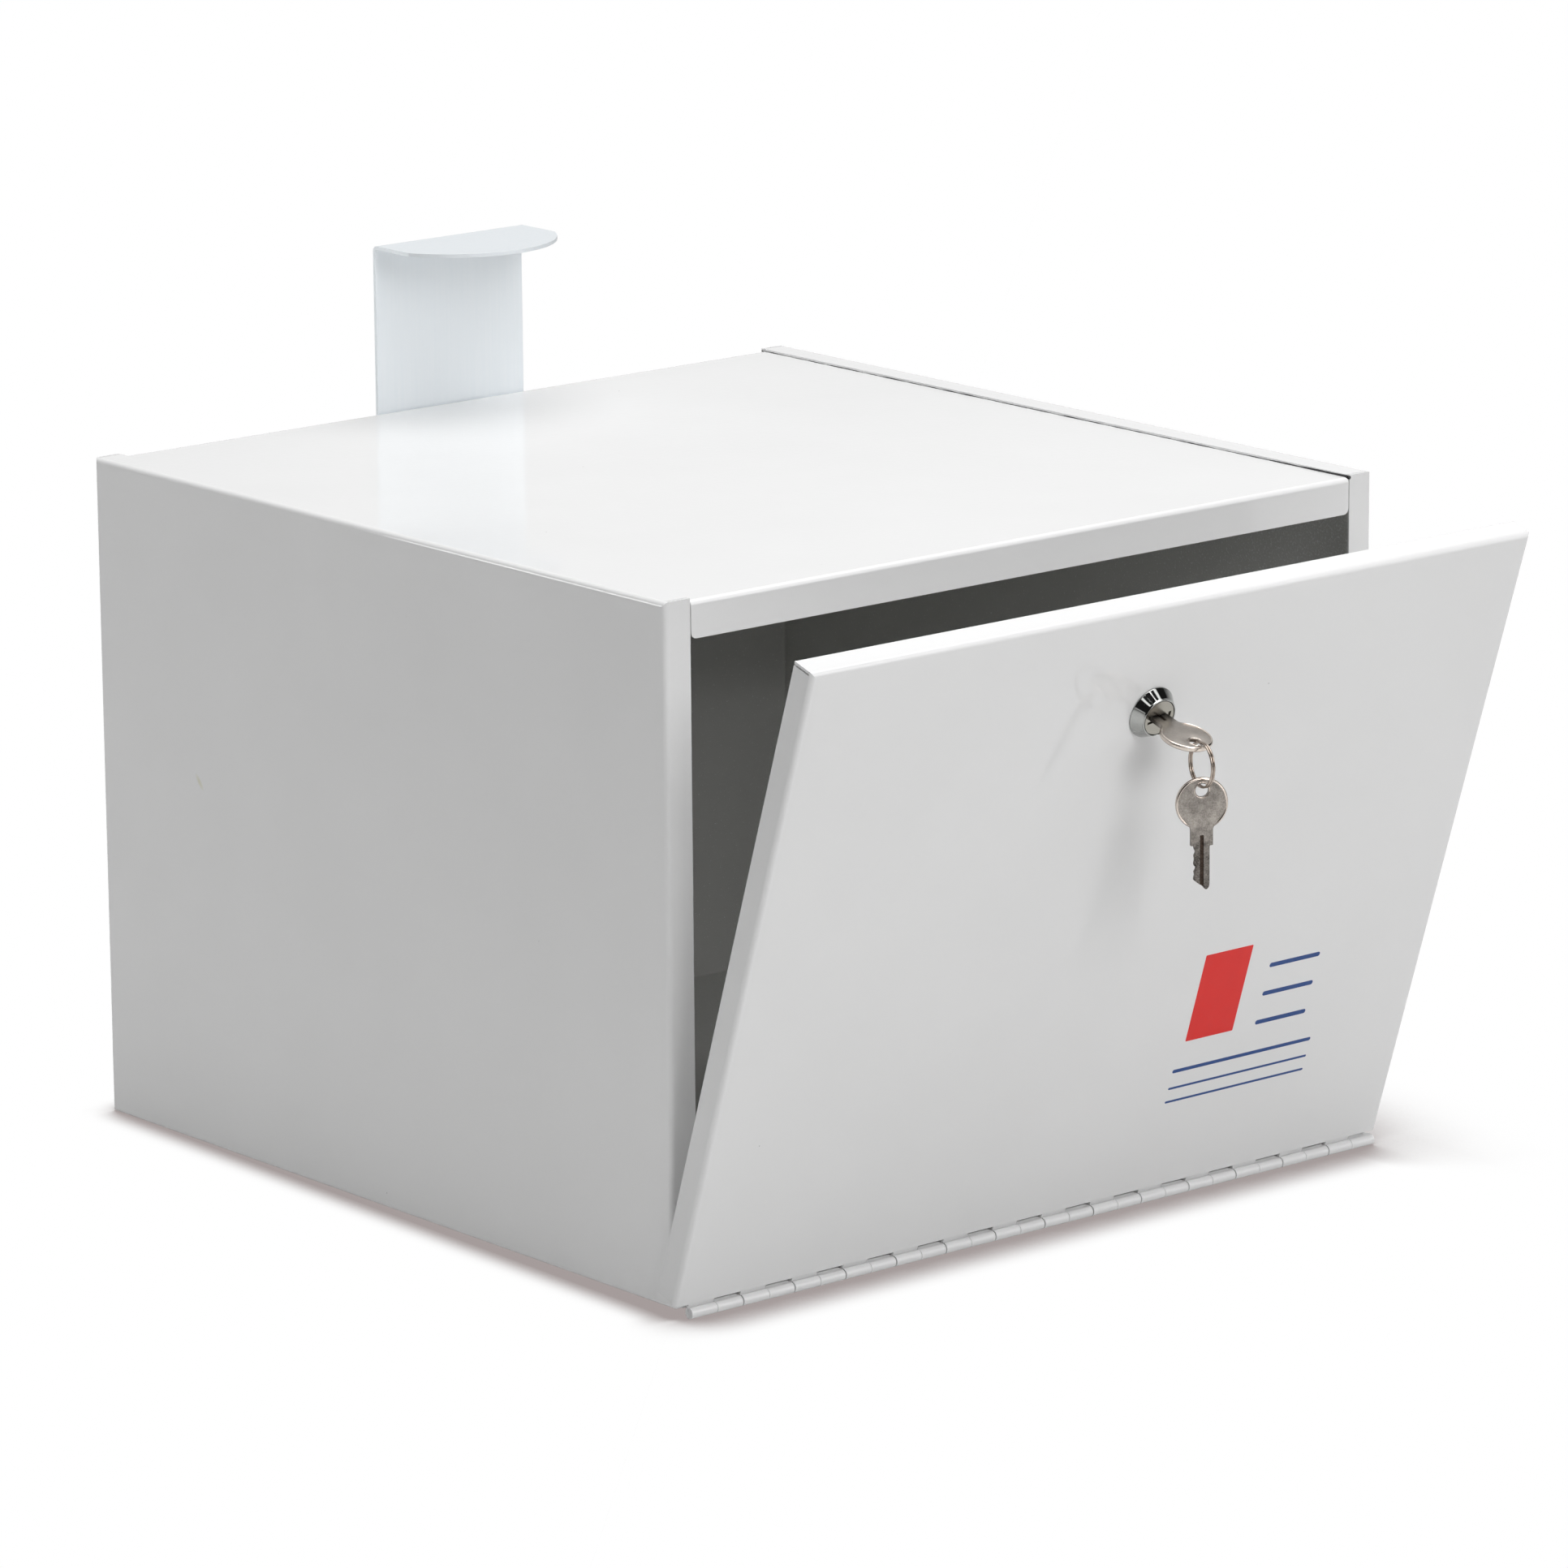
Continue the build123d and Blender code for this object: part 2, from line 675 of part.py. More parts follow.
pieces = {
    "left_side_panel": left_side_panel,
    "right_side_panel": right_side_panel,
    "wrapper": wrapper.part,
    "hanger_strip": hanger_strip.part,
    "strip_rivets": strip_rivets.part,
    "hinge_door_leaf": hinge_door_leaf,
    "hinge_body_leaf": hinge_body_leaf,
    "hinge_pin": hinge_pin.part,
    "door_panel": door_panel.part,
    "lock_housing": lock_housing.part,
    "lock_washer": lock_washer.part,
    "lock_nut": lock_nut.part,
    "lock_plug": lock_plug.part,
    "lock_wafers": lock_wafers.part,
    "stop_washer": stop_washer.part,
    "lock_cam": lock_cam.part,
    "cam_spring_washer": cam_spring_washer.part,
    "cam_nut": cam_nut.part,
    "lock_key": lock_key,
    "split_ring": split_ring.part,
    "spare_key": spare_key,
}
os.makedirs("parts", exist_ok=True)
for name, piece in pieces.items():
    piece.label = name
    export_step(piece, f"parts/{name}.step")
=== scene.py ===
# %% [markdown]
# # A white sheet-steel drop box
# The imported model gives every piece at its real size, in metres, in one frame: +X to the right, the
# door towards -Y, +Z up, and the origin on the box's inside floor. Blender adds the looks:
# finishes, rolled edges, threads and small marks. Nothing that the CAD placed is moved.

# %% Load the frame
from math import cos, pi, radians, sin, tau

import bmesh
import bpy
from mathutils import Matrix, Vector


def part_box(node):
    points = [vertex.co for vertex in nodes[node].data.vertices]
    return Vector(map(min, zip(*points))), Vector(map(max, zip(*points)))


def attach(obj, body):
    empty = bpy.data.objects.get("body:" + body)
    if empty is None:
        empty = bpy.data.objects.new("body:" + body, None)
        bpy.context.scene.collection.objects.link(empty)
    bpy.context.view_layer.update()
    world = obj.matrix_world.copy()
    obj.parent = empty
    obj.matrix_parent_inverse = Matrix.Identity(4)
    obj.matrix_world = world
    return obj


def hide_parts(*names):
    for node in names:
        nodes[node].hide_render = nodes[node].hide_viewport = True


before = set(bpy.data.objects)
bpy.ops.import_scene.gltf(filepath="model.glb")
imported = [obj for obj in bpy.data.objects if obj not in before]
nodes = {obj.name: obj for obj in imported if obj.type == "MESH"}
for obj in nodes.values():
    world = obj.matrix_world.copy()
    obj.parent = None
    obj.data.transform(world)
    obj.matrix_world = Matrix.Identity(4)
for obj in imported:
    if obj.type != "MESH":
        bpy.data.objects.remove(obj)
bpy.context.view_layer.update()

# %% [markdown]
# ## The camera
# A product photographer stands far off with a long lens, so that the box's edges stay nearly
# parallel. The eye stands 2 m to the left, 2.5 m in front and 0.9 m up, and looks a little down.

# %% Aim a long lens
mm = 0.001
eye = (-2.04294, -2.48045, 0.92520)
look_right = radians(39.852)
look_down = radians(13.751)
roll = radians(-0.454)
forward = Vector(
    (sin(look_right) * cos(look_down), cos(look_right) * cos(look_down), -sin(look_down))
)
level_right = forward.cross(Vector((0, 0, 1))).normalized()
level_up = level_right.cross(forward)
image_right = level_right * cos(roll) + level_up * sin(roll)
image_up = level_up * cos(roll) - level_right * sin(roll)
lens = bpy.data.cameras.new("product_lens")
lens.lens = 189.11
lens.sensor_width = 36
lens.sensor_fit = "HORIZONTAL"
lens.clip_end = 100
camera = bpy.data.objects.new("camera", lens)
bpy.context.scene.collection.objects.link(camera)
camera_ways = Matrix((image_right, image_up, -forward)).transposed().to_4x4()
camera.matrix_world = Matrix.Translation(eye) @ camera_ways
bpy.context.scene.camera = camera
bpy.context.scene.view_settings.view_transform = "Standard"
print("camera looks along", [round(x, 3) for x in forward])

# %% [markdown]
# ## Helpers for every finish
# Colours are written as they look on a screen, so one function turns their hex code into the linear
# light that a shader mixes. One more adds any node, sets it up and links what feeds it. An input
# goes by its name, or by its number where several share one: 6 and 7 are the two colours of a mix,
# and its mixed colour is output 2. A third starts a material with an empty tree.


# %% Colour and node helpers
def linear(code):
    """A hex colour as the linear red, green, blue and alpha of a shader."""
    parts = [int(code[spot : spot + 2], 16) / 255 for spot in (1, 3, 5)]
    return [x / 12.92 if x <= 0.04045 else ((x + 0.055) / 1.055) ** 2.4 for x in parts] + [1]


def node(tree, kind, inputs=None, **settings):
    """Adds a node. An input that is a socket, or a node's first output, gets linked, and any
    other value is set."""
    made = tree.nodes.new(kind)
    for name, value in settings.items():
        setattr(made, name, value)
    for name, value in (inputs or {}).items():
        if isinstance(value, bpy.types.Node):
            value = value.outputs[0]
        if isinstance(value, bpy.types.NodeSocket):
            tree.links.new(value, made.inputs[name])
        else:
            made.inputs[name].default_value = value
    return made


def empty_material(name):
    """A material with a cleared node tree."""
    material = bpy.data.materials.new(name)
    material.use_nodes = True
    material.node_tree.nodes.clear()
    return material


print("white is", linear("#f2f2ef")[:3])

# %% [markdown]
# ## The pale floor
# The box stands on the barrel of its hinge and on its rear edge, so it leans forward by half a
# degree, and here the floor is tilted to meet both. The floor is so bright in the photograph that
# it burns out to white, except for a thin shadow where no light gets under the box. So the paper
# has its own tone for the camera, and a plain one for the light that bounces on to the box.

# %% Lay the floor
barrel_low, barrel_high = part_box("hinge_body_leaf")
panel_low, panel_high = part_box("left_side_panel")
barrel_middle = barrel_low.y + (barrel_high.z - barrel_low.z) / 2
floor_slope = (panel_low.z - barrel_low.z) / (panel_high.y - barrel_middle)
reach = 30
floor_mesh = bmesh.new()
floor_mesh.faces.new(
    [
        floor_mesh.verts.new((x, y, barrel_low.z + floor_slope * (y - barrel_middle)))
        for x, y in ((-reach, -reach), (reach, -reach), (reach, reach), (-reach, reach))
    ]
)
floor_data = bpy.data.meshes.new("paper_floor")
floor_mesh.to_mesh(floor_data)
floor = bpy.data.objects.new("paper_floor", floor_data)
bpy.context.scene.collection.objects.link(floor)

paper = empty_material("white_studio_paper")
tree = paper.node_tree
rays = node(tree, "ShaderNodeLightPath")
ground = node(tree, "ShaderNodeTexCoord").outputs["Object"]
spot = node(tree, "ShaderNodeSeparateXYZ", {0: ground})
# The shadow is thin beside the box, wider in front, under the leaning door, and widest past the
# right end, which the light reaches last
shadow_reach, front_reach, end_reach = 17 * mm, 30 * mm, 80 * mm
for axis, start, end, wider in (("Y", -170, -190, front_reach), ("X", 165, 200, end_reach)):
    shadow_reach = node(
        tree,
        "ShaderNodeMapRange",
        {
            "Value": spot.outputs[axis],
            "From Min": start * mm,
            "From Max": end * mm,
            "To Min": shadow_reach,
            "To Max": wider,
        },
    )
open_sky = node(tree, "ShaderNodeAmbientOcclusion", {"Distance": shadow_reach}, samples=16)
open_sky = node(
    tree,
    "ShaderNodeMapRange",
    {"Value": open_sky.outputs["AO"], "From Min": 0.45, "From Max": 0.97},
    interpolation_type="SMOOTHSTEP",
)
seen_paper = node(
    tree,
    "ShaderNodeMix",
    {"Factor": open_sky, 6: linear("#a59c9b"), 7: linear("#ffffff")},
    data_type="RGBA",
)
for_camera = node(tree, "ShaderNodeEmission", {"Color": seen_paper.outputs[2]})
for_bounces = node(tree, "ShaderNodeBsdfDiffuse", {"Color": linear("#dedede")})
paper_shine = node(tree, "ShaderNodeEmission", {"Color": linear("#747472")})
in_gloss = node(
    tree,
    "ShaderNodeMath",
    {0: rays.outputs["Is Glossy Ray"], 1: rays.outputs["Is Transmission Ray"]},
)
for_gloss = node(tree, "ShaderNodeAddShader", {0: for_bounces, 1: paper_shine})
other_rays = node(tree, "ShaderNodeMixShader", {0: in_gloss, 1: for_bounces, 2: for_gloss})
all_rays = node(
    tree, "ShaderNodeMixShader", {0: rays.outputs["Is Camera Ray"], 1: other_rays, 2: for_camera}
)
node(tree, "ShaderNodeOutputMaterial", {"Surface": all_rays})
floor_data.materials.append(paper)
print("floor leans by", round(floor_slope * 1000, 2), "mm in a metre")

# %% [markdown]
# ## Studio light
# A wide lamp overhead lights the top most, another high in front lights the lip and the door, and
# two weak ones fill the left side and the right. The floor throws light up on to the leaning door.
# The camera sees white all round. Shiny surfaces see a white room too, but behind the camera it is
# nearly black, cut by two tall bright banners, which gives chrome and nickel their dark bands.

# %% Hang the lamps
world = bpy.data.worlds.new("white_room")
world.use_nodes = True
world.node_tree.nodes.clear()
bpy.context.scene.world = world
tree = world.node_tree
rays = node(tree, "ShaderNodeLightPath")
seen = node(
    tree, "ShaderNodeMath", {0: rays.outputs["Is Camera Ray"], 1: rays.outputs["Is Glossy Ray"]}
)
seen = node(
    tree, "ShaderNodeMath", {0: seen, 1: rays.outputs["Is Transmission Ray"]}, use_clamp=True
)
# The room's light on matt surfaces, what shiny ones see of the dark end and of the far wall, and
# how much the banners outshine the rest
room_light, dark_end, far_wall_light, banner_boost = 0.03, 0.02, 0.7, 0.9
toward = node(tree, "ShaderNodeTexCoord").outputs["Generated"]
sides = node(tree, "ShaderNodeSeparateXYZ", {0: toward})
behind_camera = node(
    tree, "ShaderNodeMapRange", {"Value": sides.outputs["Y"], "From Min": 0.42, "From Max": 0.3}
)
over_floor = node(
    tree, "ShaderNodeMapRange", {"Value": sides.outputs["Z"], "From Min": 0.0, "From Max": 0.06}
)
to_front = node(tree, "ShaderNodeMath", {0: sides.outputs["Y"], 1: -1.0}, operation="MULTIPLY")
turn = node(tree, "ShaderNodeMath", {0: sides.outputs["X"], 1: to_front}, operation="ARCTAN2")
whole_dark = node(tree, "ShaderNodeMath", {0: behind_camera, 1: over_floor}, operation="MULTIPLY")
dark = whole_dark
# Each banner's middle, half its width and its soft edge, in degrees round the room
for banner in ((-37, 2.5, 1.5), (40, 6, 4)):
    middle, half_width, soft = [radians(x) for x in banner]
    away = node(tree, "ShaderNodeMath", {0: turn, 1: -middle})
    away = node(tree, "ShaderNodeMath", {0: away}, operation="ABSOLUTE")
    ends = {"From Min": half_width, "From Max": half_width + soft}
    beside = node(tree, "ShaderNodeMapRange", {"Value": away, **ends})
    dark = node(tree, "ShaderNodeMath", {0: dark, 1: beside}, operation="MULTIPLY")
banners = node(tree, "ShaderNodeMath", {0: whole_dark, 1: dark}, operation="SUBTRACT")
# The wall far behind the box is a pale grey to anything glossy
far_wall = node(
    tree,
    "ShaderNodeMapRange",
    {
        "Value": sides.outputs["Y"],
        "From Min": 0.42,
        "From Max": 0.6,
        "To Min": 1,
        "To Max": far_wall_light,
    },
)
gloss_light = node(
    tree, "ShaderNodeMapRange", {"Value": dark, "To Min": far_wall, "To Max": dark_end}
)
gloss_light = node(
    tree, "ShaderNodeMath", {0: banners, 1: banner_boost, 2: gloss_light}, operation="MULTIPLY_ADD"
)
plain_light = node(tree, "ShaderNodeMapRange", {"Value": seen, "To Min": room_light, "To Max": 1.0})
strength = node(
    tree,
    "ShaderNodeMix",
    {"Factor": rays.outputs["Is Glossy Ray"], 2: plain_light, 3: gloss_light},
    data_type="FLOAT",
)
backdrop = node(tree, "ShaderNodeBackground", {"Color": (1, 1, 1, 1), "Strength": strength})
node(tree, "ShaderNodeOutputWorld", {"Surface": backdrop})


def lamp(name, place, aim, size, watts):
    """A square soft lamp that points from its place at aim."""
    light = bpy.data.lights.new(name, "AREA")
    light.size = size
    light.energy = watts
    hung = bpy.data.objects.new(name, light)
    bpy.context.scene.collection.objects.link(hung)
    hung.matrix_world = Matrix.Translation(place) @ (
        (Vector(aim) - Vector(place)).to_track_quat("-Z", "Y").to_matrix().to_4x4()
    )


for name, place, size, watts in (
    ("overhead", (0.2, -0.2, 2.3), 2.4, 55.5),
    ("front_high", (-0.3, -3.0, 1.9), 1.4, 42),
    ("left_back", (-1.6, 1.3, 0.35), 0.6, 6),
    ("front_right", (1.4, -3.0, 1.0), 1.4, 5),
):
    lamp(name, place, (0, 0, 0.1), size, watts)
    print(name, watts, "W")

# %% [markdown]
# ## Glossy white powder coat
# Powder is sprayed dry on to the steel and melts in an oven to one thick, glossy skin. It flows, so
# its edges look soft, and it keeps a fine swell, like orange peel, that bends reflections a little.
# Little powder finds its way inside a box, so there the grey steel shows through a thin speckle.
# The box's coat also has painted shade, a thin dark line along the gap under the right side's flange,
# and one faint rub on the left side.


# %% Mix the powder coat
def powder_coat(name, steel_inside, thin, thick):
    """White powder coat, from its tone where thin to that where thick. With steel_inside, the
    inside of the box keeps its grey steel."""
    material = empty_material(name)
    tree = material.node_tree
    place = node(tree, "ShaderNodeTexCoord").outputs["Object"]
    # Orange peel: swells about 2.5 mm across
    peel = node(tree, "ShaderNodeTexNoise", {"Vector": place, "Scale": 1 / (2.5 * mm), "Detail": 1})
    # Motes of dust baked into the coat, 0.5 mm across and some 25 mm apart
    mote_spacing, mote_edge, mote_middle = 25 * mm, 0.35 * mm, 0.15 * mm
    motes = node(
        tree, "ShaderNodeTexVoronoi", {"Vector": place, "Scale": 1 / mote_spacing}, feature="F1"
    )
    dusty = node(
        tree,
        "ShaderNodeMapRange",
        {
            "Value": motes.outputs["Distance"],
            "From Min": mote_edge / mote_spacing,
            "From Max": mote_middle / mote_spacing,
            "To Max": 0.6,
        },
    )
    # The coat is a touch thicker or thinner over some 60 mm, which shifts its tone very slightly
    drift = node(tree, "ShaderNodeTexNoise", {"Vector": place, "Scale": 1 / (60 * mm), "Detail": 2})
    tone = node(
        tree,
        "ShaderNodeMix",
        {"Factor": drift, 6: linear(thin), 7: linear(thick)},
        data_type="RGBA",
    )
    colour = node(
        tree,
        "ShaderNodeMix",
        {"Factor": dusty, 6: tone.outputs[2], 7: linear("#6e6a66")},
        data_type="RGBA",
    ).outputs[2]
    roughness = node(
        tree,
        "ShaderNodeMapRange",
        {"Value": drift, "From Min": 0.3, "From Max": 0.7, "To Min": 0.05, "To Max": 0.08},
    )
    if steel_inside:
        # Inside is where a point is no further from the box's middle than these half sizes
        middle_height, half_sizes = 134, (("X", 179.2), ("Y", 180.2), ("Z", 134.2))
        shift = (0, 0, -middle_height * mm)
        from_middle = node(tree, "ShaderNodeVectorMath", {0: place, 1: shift}, operation="ADD")
        reach = node(tree, "ShaderNodeVectorMath", {0: from_middle}, operation="ABSOLUTE")
        sides = node(tree, "ShaderNodeSeparateXYZ", {0: reach})
        within = 1.0
        for axis, limit in half_sizes:
            ends = {0: sides.outputs[axis], 1: limit * mm}
            less = node(tree, "ShaderNodeMath", ends, operation="LESS_THAN")
            within = node(tree, "ShaderNodeMath", {0: within, 1: less}, operation="MULTIPLY")
        # Grains of powder, about 0.15 mm on the real box, drawn 0.9 mm across so that they show
        grains = node(
            tree, "ShaderNodeTexNoise", {"Vector": place, "Scale": 1 / (0.9 * mm), "Detail": 2}
        )
        # Painted light: the grains turn whiter towards the opening, so the inside is lighter where
        # more light gets in
        along = node(tree, "ShaderNodeSeparateXYZ", {0: place}).outputs["Y"]
        lighter_near_opening = node(
            tree,
            "ShaderNodeMapRange",
            {"Value": along, "From Min": 0, "From Max": -170 * mm, "To Min": 0.66, "To Max": 0.5},
        )
        caught = node(
            tree, "ShaderNodeMapRange", {"Value": grains, "From Min": lighter_near_opening, "From Max": 0.74}
        )
        steel = node(
            tree,
            "ShaderNodeMix",
            {"Factor": caught, 6: linear("#dbdbd8"), 7: linear("#ffffff")},
            data_type="RGBA",
        )
        colour = node(
            tree,
            "ShaderNodeMix",
            {"Factor": within, 6: colour, 7: steel.outputs[2]},
            data_type="RGBA",
        ).outputs[2]
        roughness = node(
            tree, "ShaderNodeMapRange", {"Value": within, "To Min": roughness, "To Max": 0.55}
        )
        # Painted shade: a thin dark line along the edge of the right side's top flange, uneven and
        # widest at the front corner, stands for the shade in the gap where the flange does not lie
        # quite flat on the roof
        flange_edge, edge_height = 168, 269
        wobble = node(
            tree, "ShaderNodeTexNoise", {"Vector": place, "Scale": 1 / (14 * mm), "Detail": 3}
        )
        gap = node(
            tree,
            "ShaderNodeMapRange",
            {"Value": wobble, "From Min": 0.4, "From Max": 0.65, "To Min": 0.1, "To Max": 0.35},
        )
        corner_gap = node(
            tree,
            "ShaderNodeMapRange",
            {"Value": along, "From Min": -135 * mm, "From Max": -172 * mm, "To Max": 0.5},
        )
        gap = node(tree, "ShaderNodeMath", {0: gap, 1: corner_gap})
        from_edge = place
        for how, by in (
            ("SUBTRACT", (flange_edge * mm, 0, edge_height * mm)),
            ("MULTIPLY", (1 / mm, 0, 1 / mm)),
        ):
            from_edge = node(tree, "ShaderNodeVectorMath", {0: from_edge, 1: by}, operation=how)
        from_edge = node(tree, "ShaderNodeVectorMath", {0: from_edge}, operation="LENGTH")
        ends = {0: from_edge.outputs["Value"], 1: gap}
        shade = node(tree, "ShaderNodeMath", ends, operation="LESS_THAN")
        colour = node(
            tree,
            "ShaderNodeMix",
            {"Factor": shade, 6: colour, 7: linear("#3a3a3c")},
            data_type="RGBA",
        ).outputs[2]
        # One faint yellow rub on the left side, 8 mm long, that slants down to the front
        rub_place, rub_slant, rub_reach = (-180.4, 114.5, 148.2), -38.6, (3, 1.3, 4)
        rub = node(
            tree,
            "ShaderNodeMapping",
            {
                "Vector": place,
                "Location": Vector(rub_place) * mm,
                "Rotation": (radians(rub_slant), 0, 0),
                "Scale": Vector(rub_reach) * mm,
            },
            vector_type="TEXTURE",
        )
        from_rub = node(tree, "ShaderNodeVectorMath", {0: rub}, operation="LENGTH")
        rubbed = node(
            tree,
            "ShaderNodeMapRange",
            {"Value": from_rub.outputs["Value"], "From Min": 1.1, "From Max": 0.2, "To Max": 0.35},
        )
        colour = node(
            tree,
            "ShaderNodeMix",
            {"Factor": rubbed, 6: colour, 7: linear("#c9c57e")},
            data_type="RGBA",
        ).outputs[2]
    swell = node(tree, "ShaderNodeBump", {"Height": peel, "Distance": 0.012 * mm, "Strength": 1})
    polyester_ior = 1.55
    skin = node(
        tree,
        "ShaderNodeBsdfPrincipled",
        {"Base Color": colour, "Roughness": roughness, "IOR": polyester_ior, "Normal": swell},
    )
    node(tree, "ShaderNodeOutputMaterial", {"Surface": skin})
    return material


def give(material, *names):
    """Puts a finish on every material slot of some CAD nodes."""
    for name in names:
        mesh = nodes[name].data
        if not mesh.materials:
            mesh.materials.append(material)
        for spot in range(len(mesh.materials)):
            mesh.materials[spot] = material


white_coat = powder_coat("glossy_white_powder_coat", False, "#eeeeee", "#f3f3f3")
box_coat = powder_coat("glossy_white_powder_coat_thin_inside", True, "#eeeeee", "#f3f3f3")
# Painted shade: the door gets a greyer copy of the box's white coat, which makes it look less lit
door_coat_painted_greyer = powder_coat("glossy_white_powder_coat_painted_greyer_on_the_door", False, "#e8e8e8", "#ededed")
give(door_coat_painted_greyer, "door_panel")
give(white_coat, "hinge_door_leaf", "hinge_body_leaf", "hinge_pin")
give(box_coat, "left_side_panel", "right_side_panel", "wrapper")
print("powder coat on the sheet pieces and the pin")

# %% [markdown]
# ## Metals
# Each metal keeps the shader's own IOR and differs in colour, roughness and the marks of its
# making: rolling lines along the strip, a plated film on the fasteners, mirror chrome on the bezel,
# and nickel rubbed bright on the keys' beads. The strip has a dull skin of oil over its steel, so
# its shader is only part metallic.


# %% Mix the metals
def metal(name, dark, light, rough, grain, depth, stretch=(1, 1, 1), metallic=1.0):
    """A bare or plated metal, from dark to light and from the smooth to the dull roughness. Its
    grain and the depth of its relief are in millimetres, and stretch below 1 draws it out."""
    material = empty_material(name)
    tree = material.node_tree
    place = node(tree, "ShaderNodeTexCoord").outputs["Object"]
    turned = node(tree, "ShaderNodeMapping", {"Vector": place, "Scale": stretch})
    lines = node(
        tree, "ShaderNodeTexNoise", {"Vector": turned, "Scale": 1 / (grain * mm), "Detail": 4}
    )
    colour = node(
        tree,
        "ShaderNodeMix",
        {"Factor": lines, 6: linear(dark), 7: linear(light)},
        data_type="RGBA",
    )
    smooth, dull = rough
    roughness = node(
        tree,
        "ShaderNodeMapRange",
        {"Value": lines, "From Min": 0.3, "From Max": 0.7, "To Min": dull, "To Max": smooth},
    )
    relief = node(tree, "ShaderNodeBump", {"Height": lines, "Distance": depth * mm, "Strength": 1})
    shine = node(
        tree,
        "ShaderNodeBsdfPrincipled",
        {
            "Base Color": colour.outputs[2],
            "Metallic": metallic,
            "Roughness": roughness,
            "Normal": relief,
        },
    )
    node(tree, "ShaderNodeOutputMaterial", {"Surface": shine})
    return material


rolled_steel = metal(
    "cold_rolled_strip_steel", "#e6ecf0", "#ecf0f3", (0.34, 0.4), 1.2, 0.0005, (1, 1, 0.02), 0.4
)
zinc_plate = metal("zinc_plated_steel", "#b4b6b4", "#d2d4d2", (0.25, 0.4), 0.8, 0.002)
chrome = metal("chrome_plated_zinc", "#a4a5a3", "#b1b2b0", (0.04, 0.07), 0.6, 0.0002)
brushed_nickel = metal("brushed_nickel_plate", "#9d9a92", "#a8a59d", (0.2, 0.26), 0.3, 0.0002)
ring_nickel = metal("nickel_plated_spring_wire", "#8d7f75", "#c9beb4", (0.14, 0.26), 1.5, 0.002)
rubbed_nickel = metal("nickel_plate_rubbed_bright", "#c3b6ab", "#f0e6dd", (0.15, 0.26), 0.8, 0.003)
# The groove's finish is dark grime together with painted shade, as in a recess
grime_and_painted_shade = metal("grime_and_painted_shade_in_a_groove", "#0f0c0a", "#5d5047", (0.4, 0.6), 0.7, 0.02)
brass = metal("stamped_brass", "#b08d4c", "#d0ad6a", (0.3, 0.42), 0.6, 0.002)
# The housing, the keys and the ring get finer pieces below; the housing keeps the chrome
give(rolled_steel, "hanger_strip")
give(zinc_plate, "strip_rivets", "lock_washer", "lock_nut", "stop_washer", "lock_cam")
give(zinc_plate, "cam_spring_washer", "cam_nut")
give(chrome, "lock_housing")
give(brushed_nickel, "lock_plug")
give(rubbed_nickel, "lock_key", "spare_key", "split_ring")
give(brass, "lock_wafers")
print("metals on the strip, the fasteners, the lock and the keys")

# %% [markdown]
# ## Screen ink
# Enamel ink is pushed through a cloth mesh, so it has a satin face, with a trace of the mesh in it,
# and its tone shifts a little where it lies thinner.


# %% Mix the inks
def ink(name, thick, thin):
    """Screen-printed enamel ink, with the trace of a fine cloth mesh."""
    material = empty_material(name)
    tree = material.node_tree
    place = node(tree, "ShaderNodeTexCoord").outputs["Object"]
    # The mesh's threads stand 0.12 mm apart on a real print, drawn 0.5 mm so that they can show
    mesh_gap = 0.5 * mm
    trace = node(tree, "ShaderNodeTexNoise", {"Vector": place, "Scale": 1 / mesh_gap, "Detail": 2})
    drift = node(tree, "ShaderNodeTexNoise", {"Vector": place, "Scale": 1 / (9 * mm), "Detail": 3})
    colour = node(
        tree,
        "ShaderNodeMix",
        {"Factor": drift, 6: linear(thick), 7: linear(thin)},
        data_type="RGBA",
    )
    pressed = node(tree, "ShaderNodeBump", {"Height": trace, "Distance": 0.006 * mm, "Strength": 1})
    satin = node(
        tree,
        "ShaderNodeBsdfPrincipled",
        {"Base Color": colour.outputs[2], "Roughness": 0.38, "IOR": 1.45, "Normal": pressed},
    )
    node(tree, "ShaderNodeOutputMaterial", {"Surface": satin})
    return material


red_ink = ink("red_screen_ink", "#de120b", "#e61c12")
blue_ink = ink("blue_screen_ink", "#083a7c", "#12458a")
print("inks", red_ink.name, "and", blue_ink.name)

# %% [markdown]
# ## Ways to place a piece
# The hinge and the lock lean with the door, so their pieces are drawn upright in millimetres, each
# in its own small frame, and then turned into place. A piece's mesh holds its place, and its object
# stays at the origin, as the CAD's own pieces do.

# %% Frames on the hinge and the door
lean = radians(17.9)
to_right, up_door = Vector((1, 0, 0)), Vector((0, -sin(lean), cos(lean)))
out_of_door = Vector((0, -cos(lean), -sin(lean)))
hinge_axis = Vector((0, -183.35, -4.15))


def frame_at(origin, x_way, y_way, z_way):
    """A matrix from a piece's own millimetres to the model's metres."""
    ways = Matrix((x_way, y_way, z_way)).transposed().to_4x4()
    return Matrix.Scale(mm, 4) @ Matrix.Translation(origin) @ ways


# On the door's face: x to the right, y up the door from the hinge, z out of the face
face_behind_pin, lock_to_left, lock_up = 0.15, 4.2, 229.2
face_origin = hinge_axis - face_behind_pin * out_of_door
door_face = frame_at(face_origin, to_right, up_door, out_of_door)
lock_place = face_origin - lock_to_left * to_right + lock_up * up_door
lock_frame = frame_at(lock_place, to_right, up_door, out_of_door)


